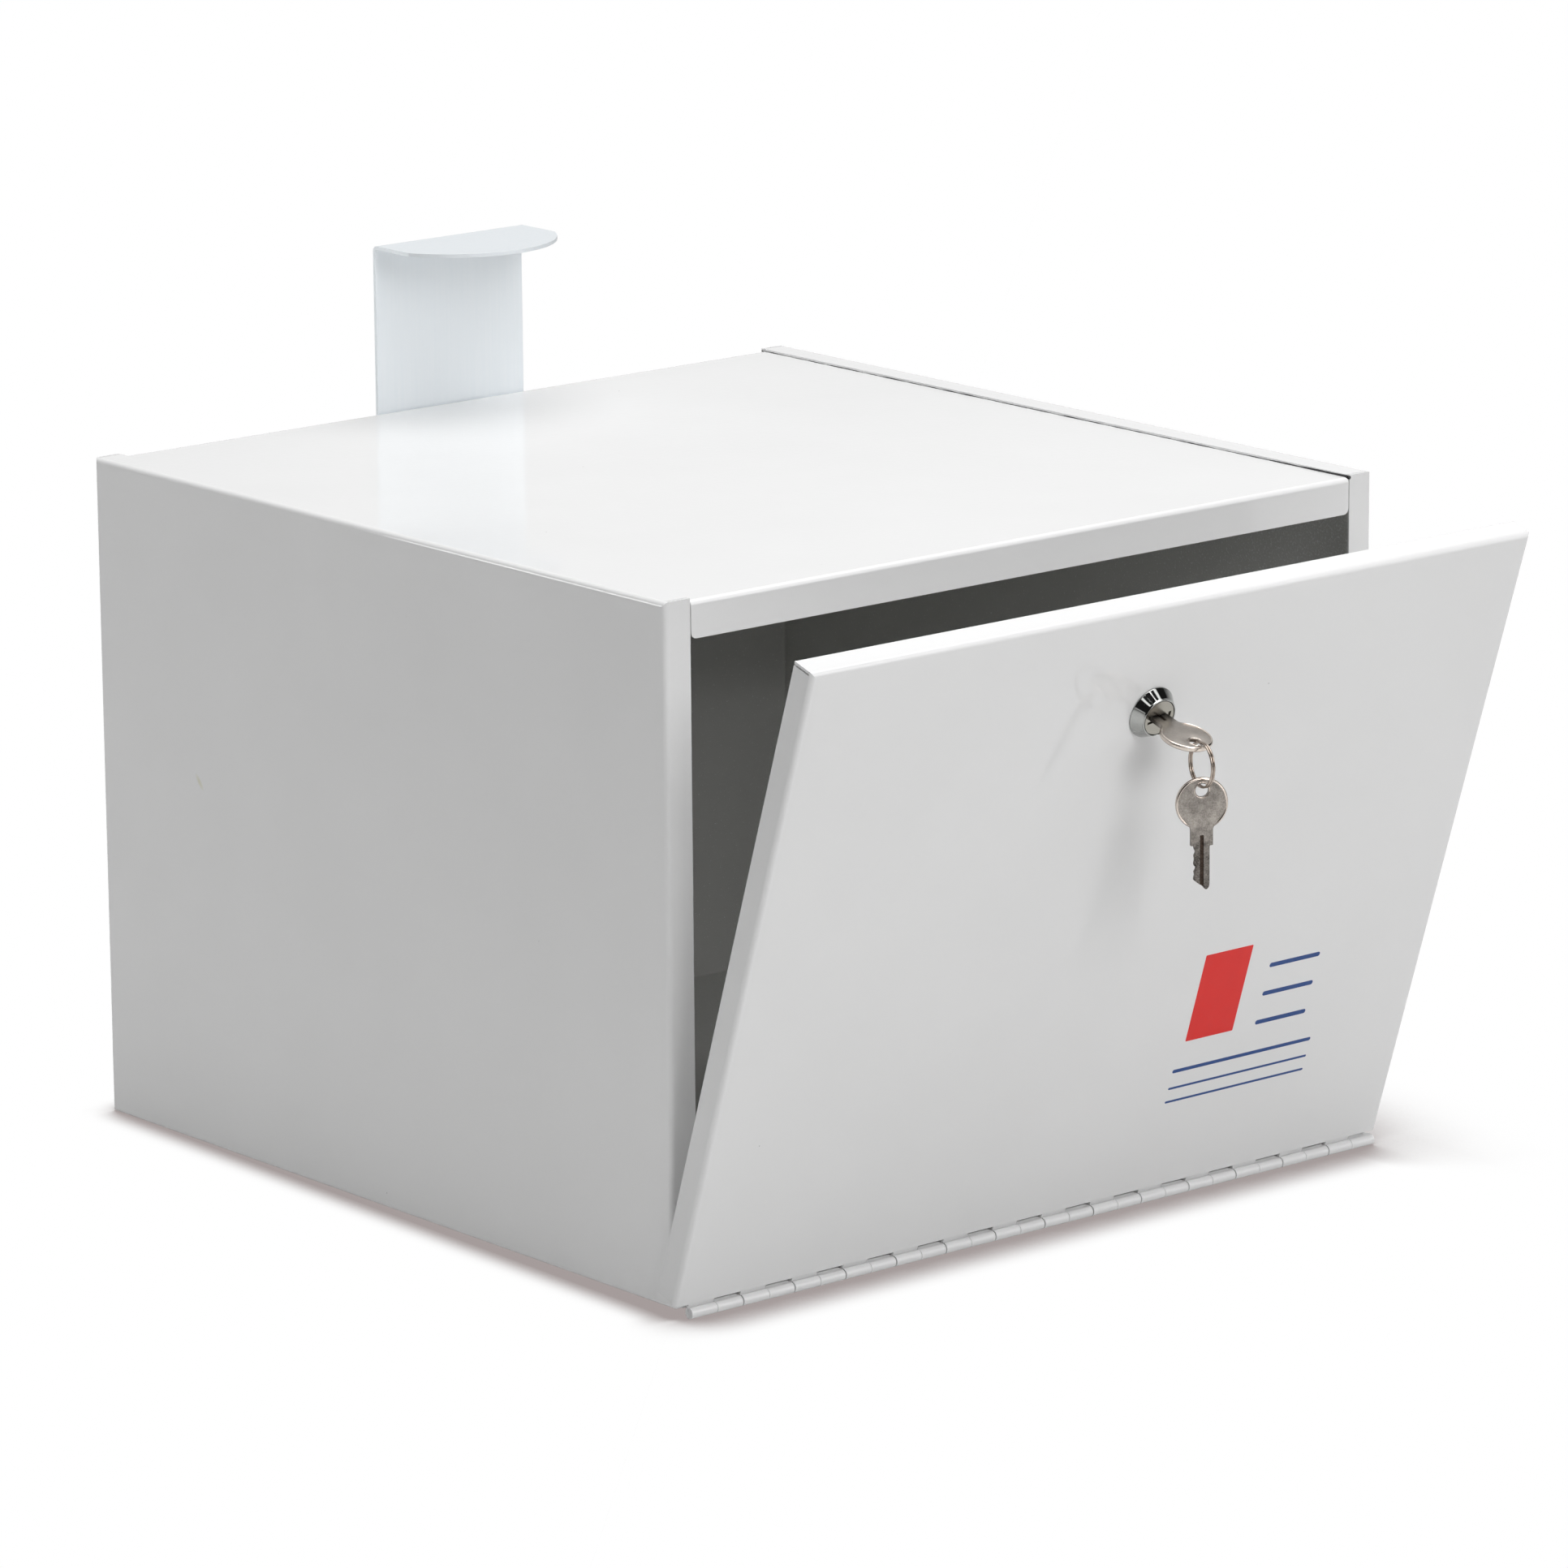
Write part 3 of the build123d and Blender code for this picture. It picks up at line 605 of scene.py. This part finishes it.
def finish_piece(name, mesh, place, material, body, replaced=(), crease=30):
    """Turns a bmesh into a piece in its place, smooth but for edges sharper than crease degrees."""
    mesh.transform(place)
    bmesh.ops.recalc_face_normals(mesh, faces=mesh.faces)
    data = bpy.data.meshes.new(name)
    mesh.to_mesh(data)
    mesh.free()
    data.shade_smooth()
    data.set_sharp_from_angle(angle=radians(crease))
    data.materials.append(material)
    made = bpy.data.objects.new(name, data)
    bpy.context.scene.collection.objects.link(made)
    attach(made, body)
    if replaced:
        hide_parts(*replaced)
    return made


print("lock at", [round(x, 2) for x in lock_place], "mm")

# %% [markdown]
# ## The continuous hinge
# Each leaf is one steel strip. Every other half inch of its edge is curled round the pin and the
# rest is cut away, so the curls of the two leaves interlock. All cells of a leaf are alike, so one
# cell is drawn, and a Geometry Nodes tree repeats it along the pin and welds the cells together.
# The leaves have a little end play: the door's has slid to the right, so the gap on the right of
# each of the box's curls is the wide, dark one.


# %% Draw one cell of a leaf
pitch, curl_radius, pin_radius = 12.7, 2.15, 1.15
leaf_end, flat_start, slit_edge = 13.5, 3.9, 1.6
inner_turn, outer_turn, curl_steps = -319, -292, 26


def leaf_cell(curl_left, curl_right):
    """Two pitches of a leaf, in the leaf's own frame: x through its sheet, y from the pin along
    its flat, and z along the pin. Its curl stands from curl_left to curl_right."""
    cell = bmesh.new()
    # Pairs of inner and outer points, from the flat's edge round to the curl's sheared end
    pairs = [((pin_radius, height), (curl_radius, height)) for height in (flat_start, slit_edge)]
    for step in range(curl_steps + 1):
        share = step / curl_steps
        inner, outer = radians(inner_turn * share), radians(outer_turn * share)
        pairs.append(
            (
                (pin_radius * cos(inner), pin_radius * sin(inner)),
                (curl_radius * cos(outer), curl_radius * sin(outer)),
            )
        )
    rows = [
        [cell.verts.new((*point, z)) for point in pair for z in (curl_left, curl_right)]
        for pair in pairs
    ]
    for here, there in zip(rows, rows[1:]):
        cell.faces.new((here[0], here[1], there[1], there[0]))
        cell.faces.new((here[2], there[2], there[3], here[3]))
        cell.faces.new((here[0], there[0], there[2], here[2]))
        cell.faces.new((here[1], here[3], there[3], there[1]))
    end = rows[-1]
    cell.faces.new((end[0], end[1], end[3], end[2]))
    # The flat: its lower edge is bare beside the curl, and meets the curl's flat where that rises
    cuts = sorted({0.0, curl_left, curl_right, 2 * pitch})
    low, high = [], []
    for z in cuts:
        if z in (curl_left, curl_right):
            first = rows[0][0 if z == curl_left else 1]
            second = rows[0][2 if z == curl_left else 3]
        else:
            first = cell.verts.new((pin_radius, flat_start, z))
            second = cell.verts.new((curl_radius, flat_start, z))
        low.append((first, second))
        high.append([cell.verts.new((x, leaf_end, z)) for x in (pin_radius, curl_radius)])
    for spot in range(len(cuts) - 1):
        (a, b), (c, d) = low[spot], low[spot + 1]
        (e, f), (g, h) = high[spot], high[spot + 1]
        cell.faces.new((a, c, g, e))
        cell.faces.new((b, f, h, d))
        cell.faces.new((e, g, h, f))
        if not (cuts[spot] == curl_left and cuts[spot + 1] == curl_right):
            cell.faces.new((a, b, d, c))
    bmesh.ops.recalc_face_normals(cell, faces=cell.faces)
    return cell


print("a cell holds", 2 * pitch, "mm of leaf")

# %% Repeat a cell along the pin
repeat_cells = bpy.data.node_groups.new("repeat_hinge_cells", "GeometryNodeTree")
sockets = repeat_cells.interface
sockets.new_socket("Cell", in_out="INPUT", socket_type="NodeSocketGeometry")
count_socket = sockets.new_socket("Number of Cells", in_out="INPUT", socket_type="NodeSocketInt")
length_socket = sockets.new_socket("Cell Length", in_out="INPUT", socket_type="NodeSocketFloat")
paint_socket = sockets.new_socket("Finish", in_out="INPUT", socket_type="NodeSocketMaterial")
sockets.new_socket("Leaf", in_out="OUTPUT", socket_type="NodeSocketGeometry")
given = node(repeat_cells, "NodeGroupInput")
step_along = node(repeat_cells, "ShaderNodeCombineXYZ", {"Z": given.outputs["Cell Length"]})
starts = node(
    repeat_cells,
    "GeometryNodeMeshLine",
    {"Count": given.outputs["Number of Cells"], "Offset": step_along},
    mode="OFFSET",
)
copies = node(
    repeat_cells,
    "GeometryNodeInstanceOnPoints",
    {"Points": starts, "Instance": given.outputs["Cell"]},
)
real = node(repeat_cells, "GeometryNodeRealizeInstances", {0: copies})
welded = node(repeat_cells, "GeometryNodeMergeByDistance", {"Geometry": real, "Distance": 0.01})
painted = node(
    repeat_cells,
    "GeometryNodeSetMaterial",
    {"Geometry": welded, "Material": given.outputs["Finish"]},
)
node(repeat_cells, "NodeGroupOutput", {0: painted})
cells, leaf_length, sheared_edge = 14, 354.4, 0.14


def hinge_leaf(name, cell, place, body, replaced):
    """A whole leaf from one cell, whose flat is trimmed to the leaf's length."""
    cell_data = bpy.data.meshes.new(name + "_cell")
    cell.to_mesh(cell_data)
    cell.free()
    cell_object = bpy.data.objects.new(name + "_cell", cell_data)
    bpy.context.scene.collection.objects.link(cell_object)
    repeat = cell_object.modifiers.new("repeat", "NODES")
    repeat.node_group = repeat_cells
    repeat[count_socket.identifier] = cells
    repeat[length_socket.identifier] = 2 * pitch
    repeat[paint_socket.identifier] = white_coat
    evaluated = cell_object.evaluated_get(bpy.context.evaluated_depsgraph_get())
    plain = bpy.data.meshes.new_from_object(evaluated)
    cell_object.modifiers.remove(repeat)
    bpy.data.objects.remove(cell_object)
    leaf = bmesh.new()
    leaf.from_mesh(plain)
    for point in leaf.verts:
        if point.co.y > flat_start - 0.1:
            point.co.z = min(max(point.co.z, 0), leaf_length)
    bmesh.ops.remove_doubles(leaf, verts=leaf.verts, dist=0.005)
    open_edges = [edge for edge in leaf.edges if edge.is_boundary]
    bmesh.ops.holes_fill(leaf, edges=open_edges, sides=0)
    made = finish_piece(name, leaf, place, white_coat, body, replaced)
    bevel = made.modifiers.new("soft_sheared_edges", "BEVEL")
    bevel.width = sheared_edge * mm
    bevel.segments = 2
    bevel.limit_method = "ANGLE"
    bevel.angle_limit = radians(32)
    return made


# The pin runs along +X. A leaf's x and y span the section across the pin, and its z runs along it
first_curl, play, box_play_left, box_play_right = 174.3, 0.15, 0.06, 0.4
hinge_start = hinge_axis - first_curl * to_right
door_leaf = hinge_leaf(
    "hinge_leaf_of_the_door",
    leaf_cell(play, pitch - play),
    frame_at(hinge_start, -out_of_door, up_door, to_right),
    "door",
    ["hinge_door_leaf"],
)
box_leaf = hinge_leaf(
    "hinge_leaf_of_the_box",
    leaf_cell(pitch + box_play_left, 2 * pitch - box_play_right),
    frame_at(hinge_start, Vector((0, 0, 1)), Vector((0, 1, 0)), to_right),
    "box",
    ["hinge_body_leaf"],
)
print("hinge leaves of", len(door_leaf.data.polygons), "and", len(box_leaf.data.polygons), "faces")

# %% [markdown]
# ## The lock's housing
# A cam lock's housing is a zinc casting: a conical bezel that hides the hole in the door, and a
# threaded barrel with two flats that stop it from turning in the hole. Both are round but for the
# thread and the flats, so here a profile is spun, and the barrel's rings follow the thread. Behind,
# a lug limits the stop washer. The whole is chromed.

# %% Turn the bezel and cut the thread
lathe_steps = 112
thread_pitch, thread_depth = 1.0, 0.5
barrel_length, barrel_radius, half_flats = 14.0, 9.4, 7.95


def barrel_ring(z, cut):
    """One ring of the barrel. Its radius follows the thread, and the flats cut it off."""
    ring = []
    for step in range(lathe_steps):
        angle = tau * step / lathe_steps
        turn = (z / thread_pitch - step / lathe_steps) % 1
        radius = barrel_radius - cut * thread_depth * abs(2 * turn - 1)
        across = min(max(radius * cos(angle), -half_flats), half_flats)
        ring.append((across, radius * sin(angle), z))
    return ring


def round_ring(radius, z):
    """A plain turned ring."""
    return [
        (radius * cos(tau * step / lathe_steps), radius * sin(tau * step / lathe_steps), z)
        for step in range(lathe_steps)
    ]


def spin_rings(rings, closed):
    """A surface through rings of equal numbers of points; closed joins the last to the first."""
    turned = bmesh.new()
    rows = [[turned.verts.new(point) for point in ring] for ring in rings]
    pairs = list(zip(rows, rows[1:])) + ([(rows[-1], rows[0])] if closed else [])
    for here, there in pairs:
        for step in range(len(here)):
            after = (step + 1) % len(here)
            turned.faces.new((here[step], here[after], there[after], there[step]))
    return turned


# The barrel: its chamfered rear end, the thread, which fades in and out, and its plain front
bore, chamfer_cut, first_thread, plain_front = 6.3, 1.6, 0.3, 1.2
thread_rows, fade_rows = 84, 6
rings = [round_ring(bore, -barrel_length), barrel_ring(-barrel_length, chamfer_cut)]
thread_span = barrel_length - first_thread - plain_front
for row in range(thread_rows + 1):
    height = first_thread - barrel_length + thread_span * row / thread_rows
    fade = min(1, (row + 1) / fade_rows, (thread_rows - row) / fade_rows)
    rings.append(barrel_ring(height, fade))
rings.append(barrel_ring(-0.02, 0))
# Radius and height: the outer rim, the cone, the rounded lip and the recess round the plug
bezel_profile = (
    [(10.4, 0.0), (10.56, 0.06), (10.6, 0.2), (10.6, 0.5), (10.53, 0.68), (10.4, 0.86)]
    + [(10.33, 0.97), (9.56, 2.13), (8.84, 3.23), (8.07, 4.39)]
    + [(8.0, 4.5), (7.9, 4.8), (7.83, 5.02), (7.74, 5.15), (7.6, 5.2), (7.45, 5.19)]
    + [(7.34, 5.12), (7.28, 5.0), (7.26, 4.8), (7.26, 3.2), (bore, 3.2)]
)
rings += [round_ring(radius, z) for radius, z in bezel_profile]
housing = spin_rings(rings, True)
# The lug behind, which the stop washer turns against, is 40 degrees wide and points down
lug_inner, lug_outer, lug_sunk, lug_height = 7.85, 9.3, 0.2, 1.2
lug_ways = [(cos(radians(turn)), sin(radians(turn))) for turn in range(-110, -69, 5)]
rows = [
    [housing.verts.new((radius * x, radius * y, z)) for x, y in lug_ways]
    for radius in (lug_inner, lug_outer)
    for z in (lug_sunk - barrel_length, -barrel_length - lug_height)
]
ordered = [rows[0], rows[1], rows[3], rows[2]]
for here, there in zip(ordered, ordered[1:] + ordered[:1]):
    for step in range(len(here) - 1):
        housing.faces.new((here[step], here[step + 1], there[step + 1], there[step]))
for end in (0, -1):
    housing.faces.new([row[end] for row in ordered])
lock_body = finish_piece(
    "threaded_lock_housing",
    housing,
    lock_frame,
    chrome,
    "door",
    ["lock_housing"],
    crease=28,
)
print("housing of", len(lock_body.data.polygons), "faces")

# %% [markdown]
# ## Two keys with soft edges
# A key is stamped from sheet, its bow is coined between two dies, and then it is plated, so no
# edge on it is quite sharp: the raised rim of its bow, the hole, the groove and the cuts all catch
# a thin line of light. The outline is worked out point by point and drawn in again a little at each
# face, which rounds every edge by the same amount. The rim and the hole's ring are beads on it.

# %% Draw a key's outline
bow_centre, bow_radius, hole_centre, hole_radius = 16.2, 10.1, 21.4, 2.55
neck_half, blade_half, groove_half, groove_top, tip = 4.35, 3.05, 0.7, 4.0, -17.0
half_sheet = 0.8
# The middle and the depth of each cut, which is a round hollow, and the slanted tip
cuts, cut_half = [(-2.4, 0.55), (-5.3, 0.2), (-8.7, 0.7), (-11.2, 0.25)], 1.6
slant_start, slant = -13.2, 1.2
slant_foot = slant_start - (blade_half - groove_half) / slant


def cut_edge(height):
    """How far the blade's cut edge stands from its middle at a height."""
    deepest = max(
        depth * 0.5 * (1 + cos(min(abs(height - spot) / cut_half, 1) * pi)) for spot, depth in cuts
    )
    return -blade_half + max(deepest, (slant_start - height) * slant)


def key_outline():
    """The key's outline, from the groove's top round the plain edge and bow to the cut edge."""
    points = [(-groove_half, groove_top), (groove_half, groove_top), (groove_half, tip + 0.72)]
    points += [(1.0, tip + 0.38), (1.35, tip + 0.1), (1.7, tip), (2.1, tip + 0.1)]
    points += [(2.5, tip + 0.45), (2.8, tip + 1.0), (2.98, tip + 1.7)]
    points += [(blade_half, tip + 2.5), (blade_half, -0.35), (blade_half + 0.3, -0.05)]
    points += [(neck_half - 0.15, 0.0), (neck_half, 0.2), (neck_half, 6.0)]
    # The neck flares into the bow through a small hollow on each side
    join, bow_steps = 61.5, 96
    flare = [(neck_half + 0.48 * (step / 5) ** 2, 6.0 + 1.3 * step / 5) for step in range(1, 5)]
    points += flare
    for step in range(bow_steps + 1):
        angle = radians(-join + (180 + 2 * join) * step / bow_steps)
        points.append((bow_radius * cos(angle), bow_centre + bow_radius * sin(angle)))
    points += [(-x, y) for x, y in reversed(flare)]
    points += [(-neck_half, 6.0), (-neck_half, 0.2), (-neck_half + 0.15, 0.0)]
    points += [(-blade_half - 0.3, -0.05), (-blade_half, -0.35)]
    height = -0.8
    while cut_edge(height) < -groove_half - 0.2:
        points.append((cut_edge(height), height))
        height -= 0.2
    points.append((-groove_half, slant_foot))
    return points


def drawn_in(points, amount):
    """An outline moved inwards by an amount, point by point."""
    moved = []
    for spot, (x, y) in enumerate(points):
        before, after = points[spot - 1], points[(spot + 1) % len(points)]
        first = Vector((x - before[0], y - before[1])).normalized()
        second = Vector((after[0] - x, after[1] - y)).normalized()
        way = (Vector((-first.y, first.x)) + Vector((-second.y, second.x))).normalized()
        square = max(0.5, way.dot(Vector((-first.y, first.x))))
        moved.append((x + way.x * amount / square, y + way.y * amount / square))
    return moved


outline = key_outline()
print("a key's outline has", len(outline), "points")


# %% Stamp and coin the keys
def stamped_key():
    """One key in its own millimetres: x across, y from the shoulder to the bow, z through it."""
    key = bmesh.new()
    hole_turns = [tau * step / 40 for step in range(40, 0, -1)]
    hole = [(hole_radius * cos(a), hole_centre + hole_radius * sin(a)) for a in hole_turns]
    # How far the outline is drawn in at each height of a rounded edge
    levels = ((0.16, half_sheet), (0.05, half_sheet - 0.05), (0.0, half_sheet - 0.17))
    for loop in (outline, hole):
        rings = [(inset, z) for inset, z in levels] + [(inset, -z) for inset, z in reversed(levels)]
        rows = []
        for inset, z in rings:
            rows.append([key.verts.new((x, y, z)) for x, y in drawn_in(loop, inset)])
        for here, there in zip(rows, rows[1:]):
            for step in range(len(loop)):
                after = (step + 1) % len(loop)
                key.faces.new((here[step], here[after], there[after], there[step]))
    for level in (half_sheet, -half_sheet):
        rim = [
            edge
            for edge in key.edges
            if edge.is_boundary and all(abs(point.co.z - level) < 0.001 for point in edge.verts)
        ]
        bmesh.ops.triangle_fill(key, use_beauty=True, edges=rim)
    # The groove's floor is a thinner strip between its sides, dark with grime and painted shade
    floor_half = half_sheet - 0.42
    corners = [
        key.verts.new((x, y, z))
        for z in (-floor_half, floor_half)
        for x, y in (
            (-groove_half - 0.05, slant_foot + 0.25),
            (groove_half + 0.05, tip + 0.95),
            (groove_half + 0.05, groove_top + 0.05),
            (-groove_half - 0.05, groove_top + 0.05),
        )
    ]
    for face in ("0321", "4567", "0154", "1265", "2376", "3047"):
        key.faces.new([corners[int(spot)] for spot in face]).material_index = 1
    # Beads: the bow's rim, open at the neck, and the ring round the hole
    around_steps = 12
    for centre, radius, half_width, half_height, start, sweep, steps in (
        (bow_centre, 9.6, 0.62, half_sheet + 0.24, -58, 296, 120),
        (hole_centre, 2.98, 0.38, half_sheet + 0.12, 0, 360, 48),
    ):
        whole = sweep == 360
        rows = []
        for step in range(steps + (0 if whole else 1)):
            angle = radians(start + sweep * step / steps)
            full = 1 if whole else min(1, 0.35 + 0.65 * min(step, steps - step) / 5)
            row = []
            for spot in range(around_steps):
                around = tau * spot / around_steps
                reach = radius + half_width * full * cos(around)
                height = half_height * (0.75 + 0.25 * full) * sin(around)
                row.append(
                    key.verts.new((reach * cos(angle), centre + reach * sin(angle), height))
                )
            rows.append(row)
        for here, there in list(zip(rows, rows[1:])) + ([(rows[-1], rows[0])] if whole else []):
            for spot in range(around_steps):
                after = (spot + 1) % around_steps
                bead = key.faces.new((here[spot], here[after], there[after], there[spot]))
                bead.material_index = 2
        if not whole:
            key.faces.new(rows[0])
            key.faces.new(rows[-1])
    # The finish reads where it is on the key from the key's own millimetres
    own_place = key.verts.layers.float_vector.new("own_place")
    for point in key.verts:
        point[own_place] = point.co
    return key


print("a key is", 2 * half_sheet, "mm thick")

# %% [markdown]
# ## Nickel graded along the key
# Each key's nickel goes from dark towards its shoulder or blade to lighter at the bow. On the key in
# the lock the dark root by the plug is painted shade; the key on the ring is only darker towards its
# blade. Pits and patches mottle both. The finish reads its place from the key's own millimetres, so
# that it stays with the key however it is turned.


# %% Mix the handled nickel
def nickel_graded_along_the_key(name, dark_share, bright, from_y, to_y, mottle):
    """Nickel plate that goes from a dark share of brightness at from_y to a bright one at to_y."""
    material = empty_material(name)
    tree = material.node_tree
    place = node(tree, "ShaderNodeAttribute", attribute_name="own_place").outputs["Vector"]
    sides = node(tree, "ShaderNodeSeparateXYZ", {0: place})
    share = node(
        tree,
        "ShaderNodeMapRange",
        {
            "Value": sides.outputs["Y"],
            "From Min": from_y,
            "From Max": to_y,
            "To Min": dark_share,
            "To Max": bright,
        },
        interpolation_type="SMOOTHSTEP",
    )
    # Pits and dirt about 0.5 mm across, in patches of 3 mm
    pits = node(tree, "ShaderNodeTexNoise", {"Vector": place, "Scale": 2, "Detail": 3})
    patches = node(tree, "ShaderNodeTexNoise", {"Vector": place, "Scale": 0.33, "Detail": 2})
    limits = {"To Min": -mottle / 2, "To Max": mottle / 2}
    for pattern in (pits, patches):
        shift = node(tree, "ShaderNodeMapRange", {"Value": pattern, **limits})
        share = node(tree, "ShaderNodeMath", {0: share, 1: shift})
    colour = node(
        tree,
        "ShaderNodeMix",
        {"Factor": share, 6: linear("#191614"), 7: linear("#d3cbc3")},
        data_type="RGBA",
    )
    dull = node(tree, "ShaderNodeMapRange", {"Value": share, "To Min": 0.5, "To Max": 0.2})
    relief = node(tree, "ShaderNodeBump", {"Height": pits, "Distance": 0.008 * mm, "Strength": 1})
    shine = node(
        tree,
        "ShaderNodeBsdfPrincipled",
        {
            "Base Color": colour.outputs[2],
            "Metallic": 1.0,
            "Roughness": dull,
            "Normal": relief,
        },
    )
    node(tree, "ShaderNodeOutputMaterial", {"Surface": shine})
    return material


# The key in the lock is dark at its root by the plug, which is painted shade; the key on the ring is
# darker towards its blade
nickel_with_painted_root_shade = nickel_graded_along_the_key("nickel_plate_on_brass", 0.12, 0.6, 1, 7, 0.2)
nickel_darker_towards_the_blade = nickel_graded_along_the_key("nickel_plate_on_brass_darker_towards_the_blade", 0.24, 0.52, -6, 12, 0.6)
print("keys in", nickel_with_painted_root_shade.name, "and", nickel_darker_towards_the_blade.name)

# %% Put the keys in place
# The lock's key stops with its shoulder on the plug. The ring hangs from the web beside its hole,
# and the spare key from the ring
shoulder_out, web_out, hole_below_ring = 4.4, 28.35, 9.7
key_stop = lock_place + shoulder_out * out_of_door
lock_key_frame = frame_at(key_stop, to_right, out_of_door, -up_door)
web_corner = lock_place + web_out * out_of_door + up_door
ring_middle = web_corner - Vector((0, 1.0, 7.6))
spare_turn = radians(28)
spare_place = ring_middle - Vector((0, 0, hole_below_ring + hole_centre))
spare_frame = frame_at(
    spare_place,
    Vector((cos(spare_turn), -sin(spare_turn), 0)),
    Vector((0, 0, 1)),
    Vector((-sin(spare_turn), -cos(spare_turn), 0)),
)
for name, place, nickel, body, replaced in (
    ("key_in_the_lock", lock_key_frame, nickel_with_painted_root_shade, "key", "lock_key"),
    ("key_on_the_ring", spare_frame, nickel_darker_towards_the_blade, "spare", "spare_key"),
):
    key = finish_piece(
        name, stamped_key(), place, nickel, body, [replaced], crease=45
    )
    # The groove's floor has the second finish, grime with painted shade, and the beads the third
    key.data.materials.append(grime_and_painted_shade)
    key.data.materials.append(rubbed_nickel)
    print(name, "of", len(key.data.polygons), "faces")

# %% [markdown]
# ## The split ring
# Spring wire is coiled twice, and the turns press flat against each other, with one short step
# where the wire crosses from one turn to the next. A round tube along that path makes it.

# %% Coil the ring
ring_radius, wire_radius = 8.55, 0.45
yaw = radians(13)
ring_frame = frame_at(
    ring_middle,
    Vector((sin(yaw), cos(yaw), 0)),
    Vector((0, 0, 1)),
    Vector((cos(yaw), -sin(yaw), 0)),
)
coil_steps, wire_steps = 192, 14
# The wire's two ends lie next to the crossing, so the coil runs from 10 to 710 degrees, and steps
# over to its second turn from 345 to 375 degrees
coil_start, coil_sweep, crossing, crossing_sweep = 10, 700, 345, 30
turn_spacing, crossing_place = 0.95, 95
coil = []
for step in range(coil_steps + 1):
    angle = coil_start + coil_sweep * step / coil_steps
    slide = min(max((angle - crossing) / crossing_sweep, 0), 1)
    side = (slide * slide * (3 - 2 * slide) - 0.5) * turn_spacing
    turn = radians(angle + crossing_place)
    middle = Vector((ring_radius * cos(turn), ring_radius * sin(turn), side))
    outwards = Vector((cos(turn), sin(turn), 0))
    taper = min(1, 0.55 + 0.45 * min(step, coil_steps - step) / 3)
    coil.append(
        [
            middle
            + outwards * wire_radius * taper * cos(tau * spot / wire_steps)
            + Vector((0, 0, wire_radius * taper * sin(tau * spot / wire_steps)))
            for spot in range(wire_steps)
        ]
    )
wire = spin_rings(coil, False)
wire.verts.ensure_lookup_table()
wire.faces.new(wire.verts[:wire_steps])
wire.faces.new(wire.verts[-wire_steps:])
ring = finish_piece(
    "coiled_split_ring",
    wire,
    ring_frame,
    ring_nickel,
    "ring",
    ["split_ring"],
    crease=50,
)
print("ring of", len(ring.data.polygons), "faces")

# %% [markdown]
# ## Print on the door
# The front carries a plain red panel and a few blue ruled lines for a clinic's own marks, screen
# printed in thick enamel ink. Ink stands a few hundredths of a millimetre proud, so each patch is a
# very thin block on the paint, with rounded corners.


# %% Print the panel and the lines
ink_back, ink_face = 0.004, 0.03


def printed_patch(mesh, left, low, right, high, corner):
    """A thin block of ink on the door's face, from its left and low corner to right and high."""
    rim = []
    for middle_x, middle_y, start in (
        (right - corner, high - corner, 0),
        (left + corner, high - corner, 90),
        (left + corner, low + corner, 180),
        (right - corner, low + corner, 270),
    ):
        for step in range(5):
            angle = radians(start + 90 * step / 4)
            rim.append((middle_x + corner * cos(angle), middle_y + corner * sin(angle)))
    back = [mesh.verts.new((x, y, ink_back)) for x, y in rim]
    front = [mesh.verts.new((x, y, ink_face)) for x, y in rim]
    mesh.faces.new(front)
    mesh.faces.new(back[::-1])
    for step in range(len(rim)):
        after = (step + 1) % len(rim)
        mesh.faces.new((back[step], back[after], front[after], front[step]))


# Millimetres on the door's face, to the right of its middle and up from the hinge
red_patch = bmesh.new()
printed_patch(red_patch, 59, 71, 84, 110, 0.4)
blue_lines = bmesh.new()
for left, right, height, thick in (
    (96, 123, 97.2, 2.0),
    (96, 123, 84.2, 2.0),
    (96, 123, 71.0, 2.0),
    (56, 130, 57.0, 1.6),
    (56, 130, 49.4, 1.0),
    (56, 130, 43.2, 1.0),
):
    printed_patch(blue_lines, left, height, right, height + thick, thick / 2.2)
for name, patch, finish in (
    ("red_printed_panel", red_patch, red_ink),
    ("blue_printed_lines", blue_lines, blue_ink),
):
    made = finish_piece(name, patch, door_face, finish, "door")
    print(name, "of", len(made.data.polygons), "faces")
